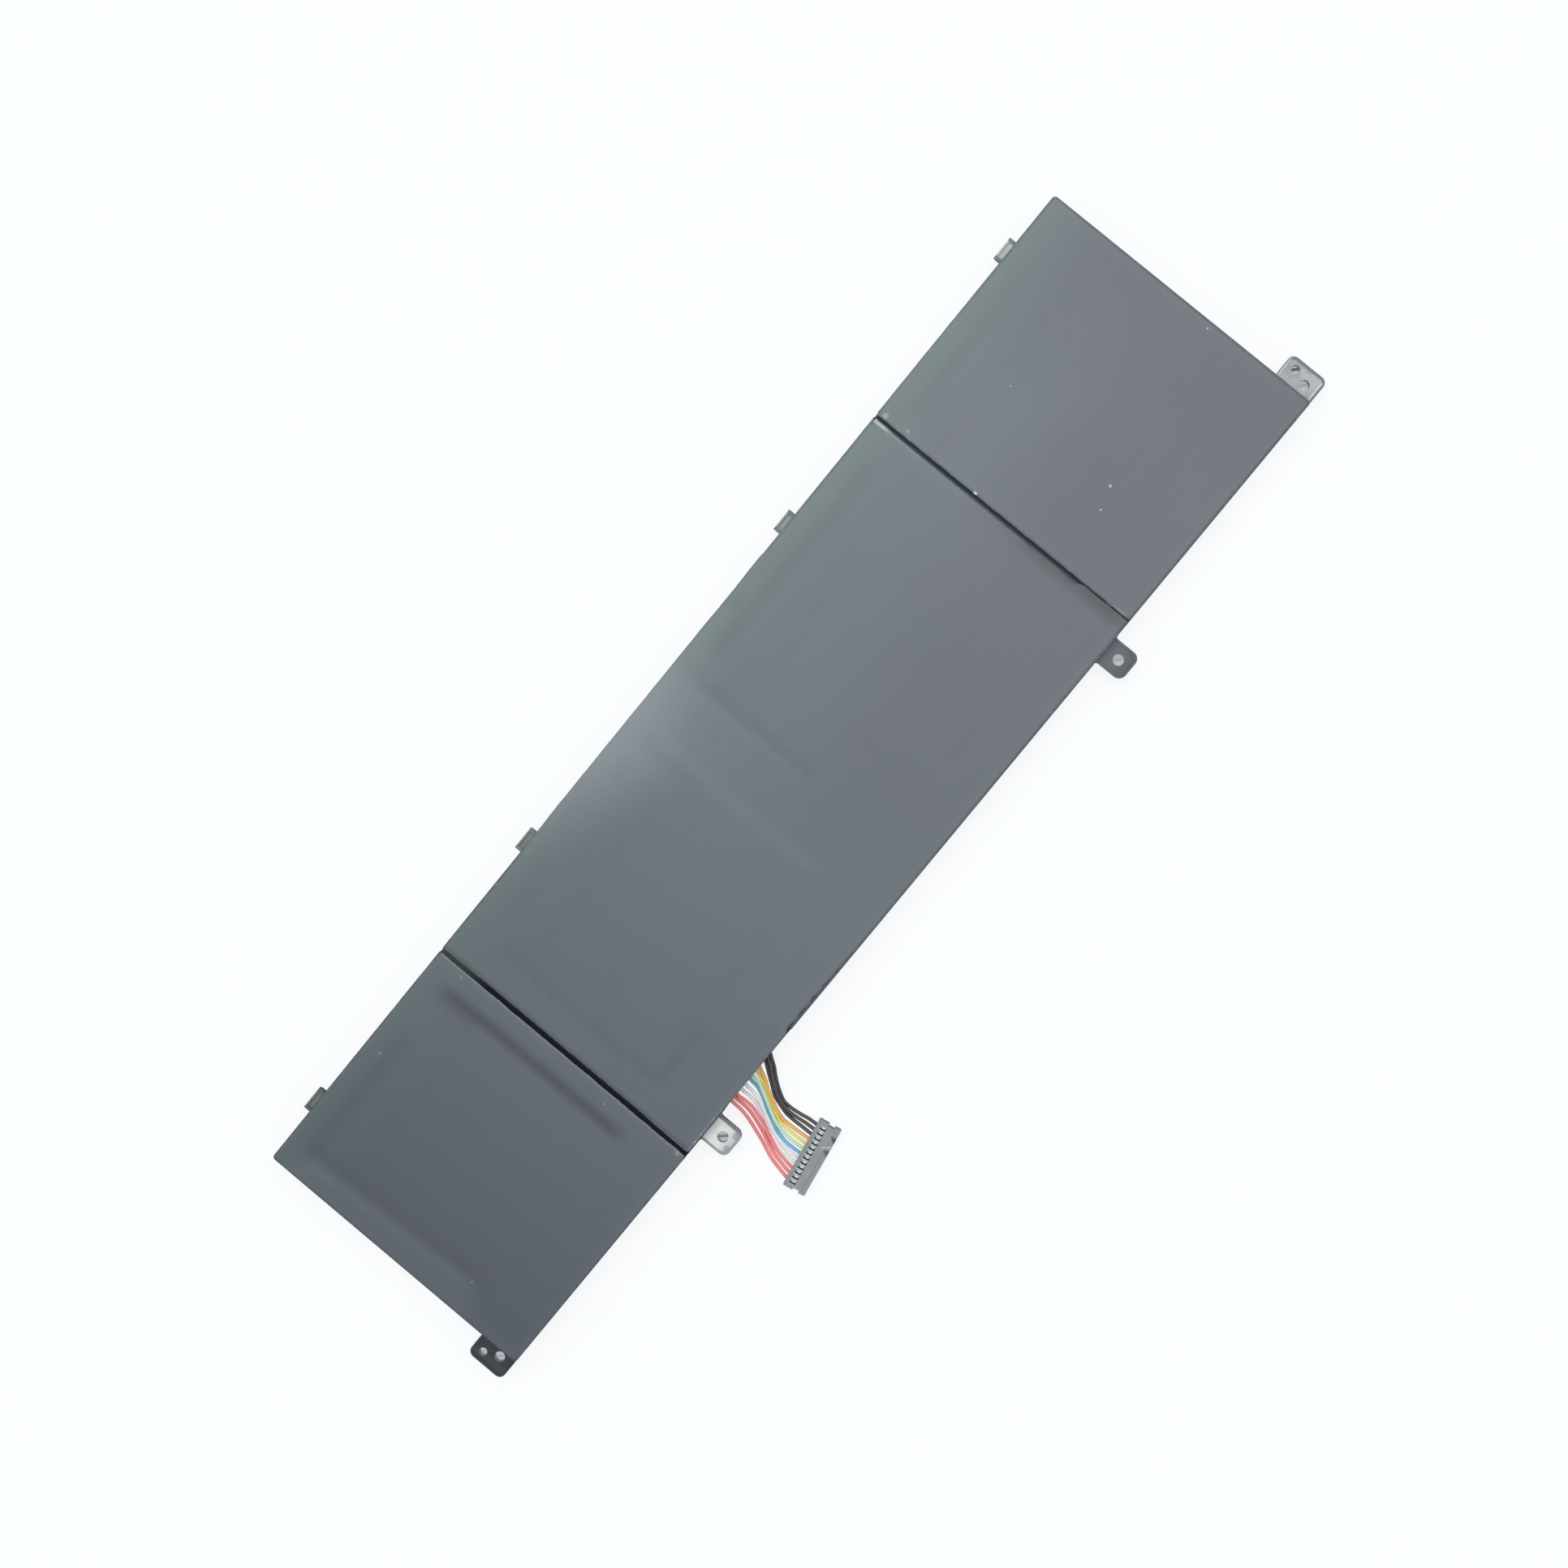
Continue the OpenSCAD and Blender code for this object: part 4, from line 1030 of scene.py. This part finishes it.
# %% [markdown]
# ## Board
# The protection board is glass fibre under green solder mask. Tracks show as slightly lighter bands under the
# mask, so a stepped pattern of thin bands is enough. Chips are black epoxy, pads are gilt, small parts are
# ceramic.

# %% Board, pads, chips, small parts and tape
mask = Finish("solder mask")
track = mask.rise((mask.x * 2.1).wave() * (mask.y * 3.3 + 0.7).wave(), 0.1, 0.3)
weave = mask.noise(0.3, 2.0)
colour = mask.mix(track, (16, 74, 46), (30, 104, 66))
colour = mask.mix(weave * 0.3, colour, (44, 92, 60))
dress(mask.surface(colour, 0.25 + 0.1 * weave, track * 0.8 + weave * 0.2, 0.02, **{"Coat Weight": 0.3}),
      "board")

dress(mottled_finish("gilt pad", (198, 160, 88), (228, 196, 122), (0.25, 3), 0.25, 0.2, 0.006, Metallic=0.9),
      "solder_pads")
epoxy = mottled_finish("chip epoxy", (30, 30, 32), (48, 48, 50), (0.2, 4), 0.5)
dress(epoxy, "controller_chip", "guard_chip", "switch_left", "switch_right", "sense_resistor")
dress(mottled_finish("fuse ceramic", (206, 202, 190), (230, 228, 218), (0.4, 4), 0.45), "cutoff_fuse")
dress(mottled_finish("sensor ceramic", (70, 58, 48), (96, 82, 68), (0.2, 4), 0.5), "temperature_sensor")
dress(mottled_finish("capacitor ceramic", (168, 142, 104), (194, 170, 130), (0.2, 4), 0.45), "capacitors")

tape = Finish("insulating tape")
weft = tape.noise(0.25, 2.0, stretch=(0.2, 1, 1))
wrinkle = tape.noise(4, 3.0)
colour = tape.mix(weft * 0.5 + wrinkle * 0.5, (30, 31, 33), (52, 53, 56))
dress(tape.surface(colour, 0.42 + 0.15 * wrinkle, weft * 0.5 + wrinkle * 0.5, 0.02), "board_tape")
print("board finishes made")

# %% [markdown]
# ## Lamps
# The photograph is high key: a broad overhead softbox and almost no shadow. The softbox stands where the
# right two thirds of the pack mirror it to the camera and the left end doesn't, which helps to darken the
# film there. A weaker lamp on the hooked side leaves the faint shadow along the lugged side.

# %% Two softboxes
def softbox(name, place, target, size, radiance, tone):
    """Rectangular lamp. Its power in watts is radiance times pi times its area."""
    lamp = bpy.data.lights.new(name, "AREA")
    lamp.shape = "RECTANGLE"
    lamp.size, lamp.size_y = size
    lamp.energy = radiance * np.pi * size[0] * size[1]
    lamp.color = tone
    made = bpy.data.objects.new(name, lamp)
    made.matrix_world = facing(np.array(place), np.array(target), np.array([0, 1.0, 0]))
    bpy.context.scene.collection.objects.link(made)
    return made


key = softbox("overhead softbox", (0.24, 0.12, 1.0), (0.05, 0.0, 0.0), (0.75, 0.8), 2.6, (1.0, 0.99, 0.97))
side = softbox("side fill", (-0.9, 0.9, 0.9), (0, 0, 0), (0.8, 0.8), 0.7, (0.95, 0.97, 1.0))
print("softbox watts:", round(key.data.energy, 2), round(side.data.energy, 2))

# %% [markdown]
# ## White surroundings
# The world gives an even, slightly blue light from all around. Rays from the camera and from glossy or glassy
# surfaces see it as plain white.

# %% World
bpy.context.scene.view_settings.view_transform = "Standard"
world = bpy.data.worlds.new("studio")
world.use_nodes = True
bpy.context.scene.world = world
sky = Graph(world.node_tree)
camera_ray = sky.node("ShaderNodeLightPath", {}, {}, "Is Camera Ray")
glossy, through = camera_ray.beside("Is Glossy Ray"), camera_ray.beside("Is Transmission Ray")
seen = camera_ray.at_least(glossy).at_least(through)
even = sky.node("ShaderNodeBackground", {}, {"Color": (0.94, 0.97, 1.0, 1), "Strength": 0.46})
plain = sky.node("ShaderNodeBackground", {}, {"Color": (1, 1, 1, 1), "Strength": 1.0})
sky.node("ShaderNodeOutputWorld", {}, {0: sky.node("ShaderNodeMixShader", {}, {0: seen, 1: even, 2: plain})})
print("world nodes:", len(sky.tree.nodes))

# %% [markdown]
# ## Table
# The table is matte white, and to the camera it also glows a little, so that it reaches the white of the
# photograph while the pack's faint shadow stays. Under the lugs the glow is turned down, because there the
# table lies in deep shade, and a painted dark slanting shadow crosses each patch, deepest under the two pale
# lugs. Far from the pack the glow takes over, so that no horizon shows. None of this adds light to the pack.

# %% White table and the shade under the lugs
table_half = 3000
signs = [(-1, -1), (1, -1), (1, 1), (-1, 1)]
table = put_mesh("table", [(x * table_half, y * table_half, 0) for x, y in signs], [(0, 1, 2, 3)])
card = Finish("white table")
under_holes = [(-62.1, -35.1, 1.6, 0.6), (61.5, -35.1, 1.6, 0.2), (-126.2, -28.8, 1.6, 0.2),
               (-127.6, -25.6, 1.3, 0.2), (125.6, -28.8, 1.6, 0.25), (127.0, -25.6, 1.3, 0.8)]
reach, diagonal = 1.7, 0.707
# Painted shade under each lug and a slanting painted shadow across each screw hole.
shade, shadow_streak = 0 * card.x, 0 * card.x
for hole_x, hole_y, radius, depth in under_holes:
    below = card.within(card.x, hole_x - reach, hole_x + reach, 0.6)
    below = below * card.within(card.y, hole_y - reach, hole_y + 2.3, 0.6)
    across = (card.x + card.y - (hole_x + hole_y)) * diagonal
    bar = 1 - card.rise(abs(across), 0.15, 0.45)
    shade = shade.at_least(below)
    shadow_streak = shadow_streak.at_least(card.spot(hole_x, hole_y, radius) * bar * depth)
matte = card.node("ShaderNodeBsdfDiffuse", {}, {"Color": (0.82, 0.87, 0.9, 1)})
glow = card.node("ShaderNodeEmission", {}, {"Color": (0.982, 0.992, 1.0, 1), "Strength": 1.07})
far = card.rise(card.node("ShaderNodeVectorMath", {"operation": "LENGTH"}, {0: card.place}, 1), 250, 900)
share = card.node("ShaderNodeLightPath", {}, {}, "Is Camera Ray") * (0.8 + far * 0.2 - shade * 0.5)
bright = card.node("ShaderNodeMixShader", {}, {0: share, 1: matte, 2: glow})
# A dark shader for the slanting painted shadows.
dark = card.node("ShaderNodeBsdfDiffuse", {}, {"Color": display(70, 74, 76)})
table.data.materials.append(card.done(card.node("ShaderNodeMixShader", {}, {0: shadow_streak, 1: bright, 2: dark})))
print("table finish nodes:", len(card.tree.nodes))
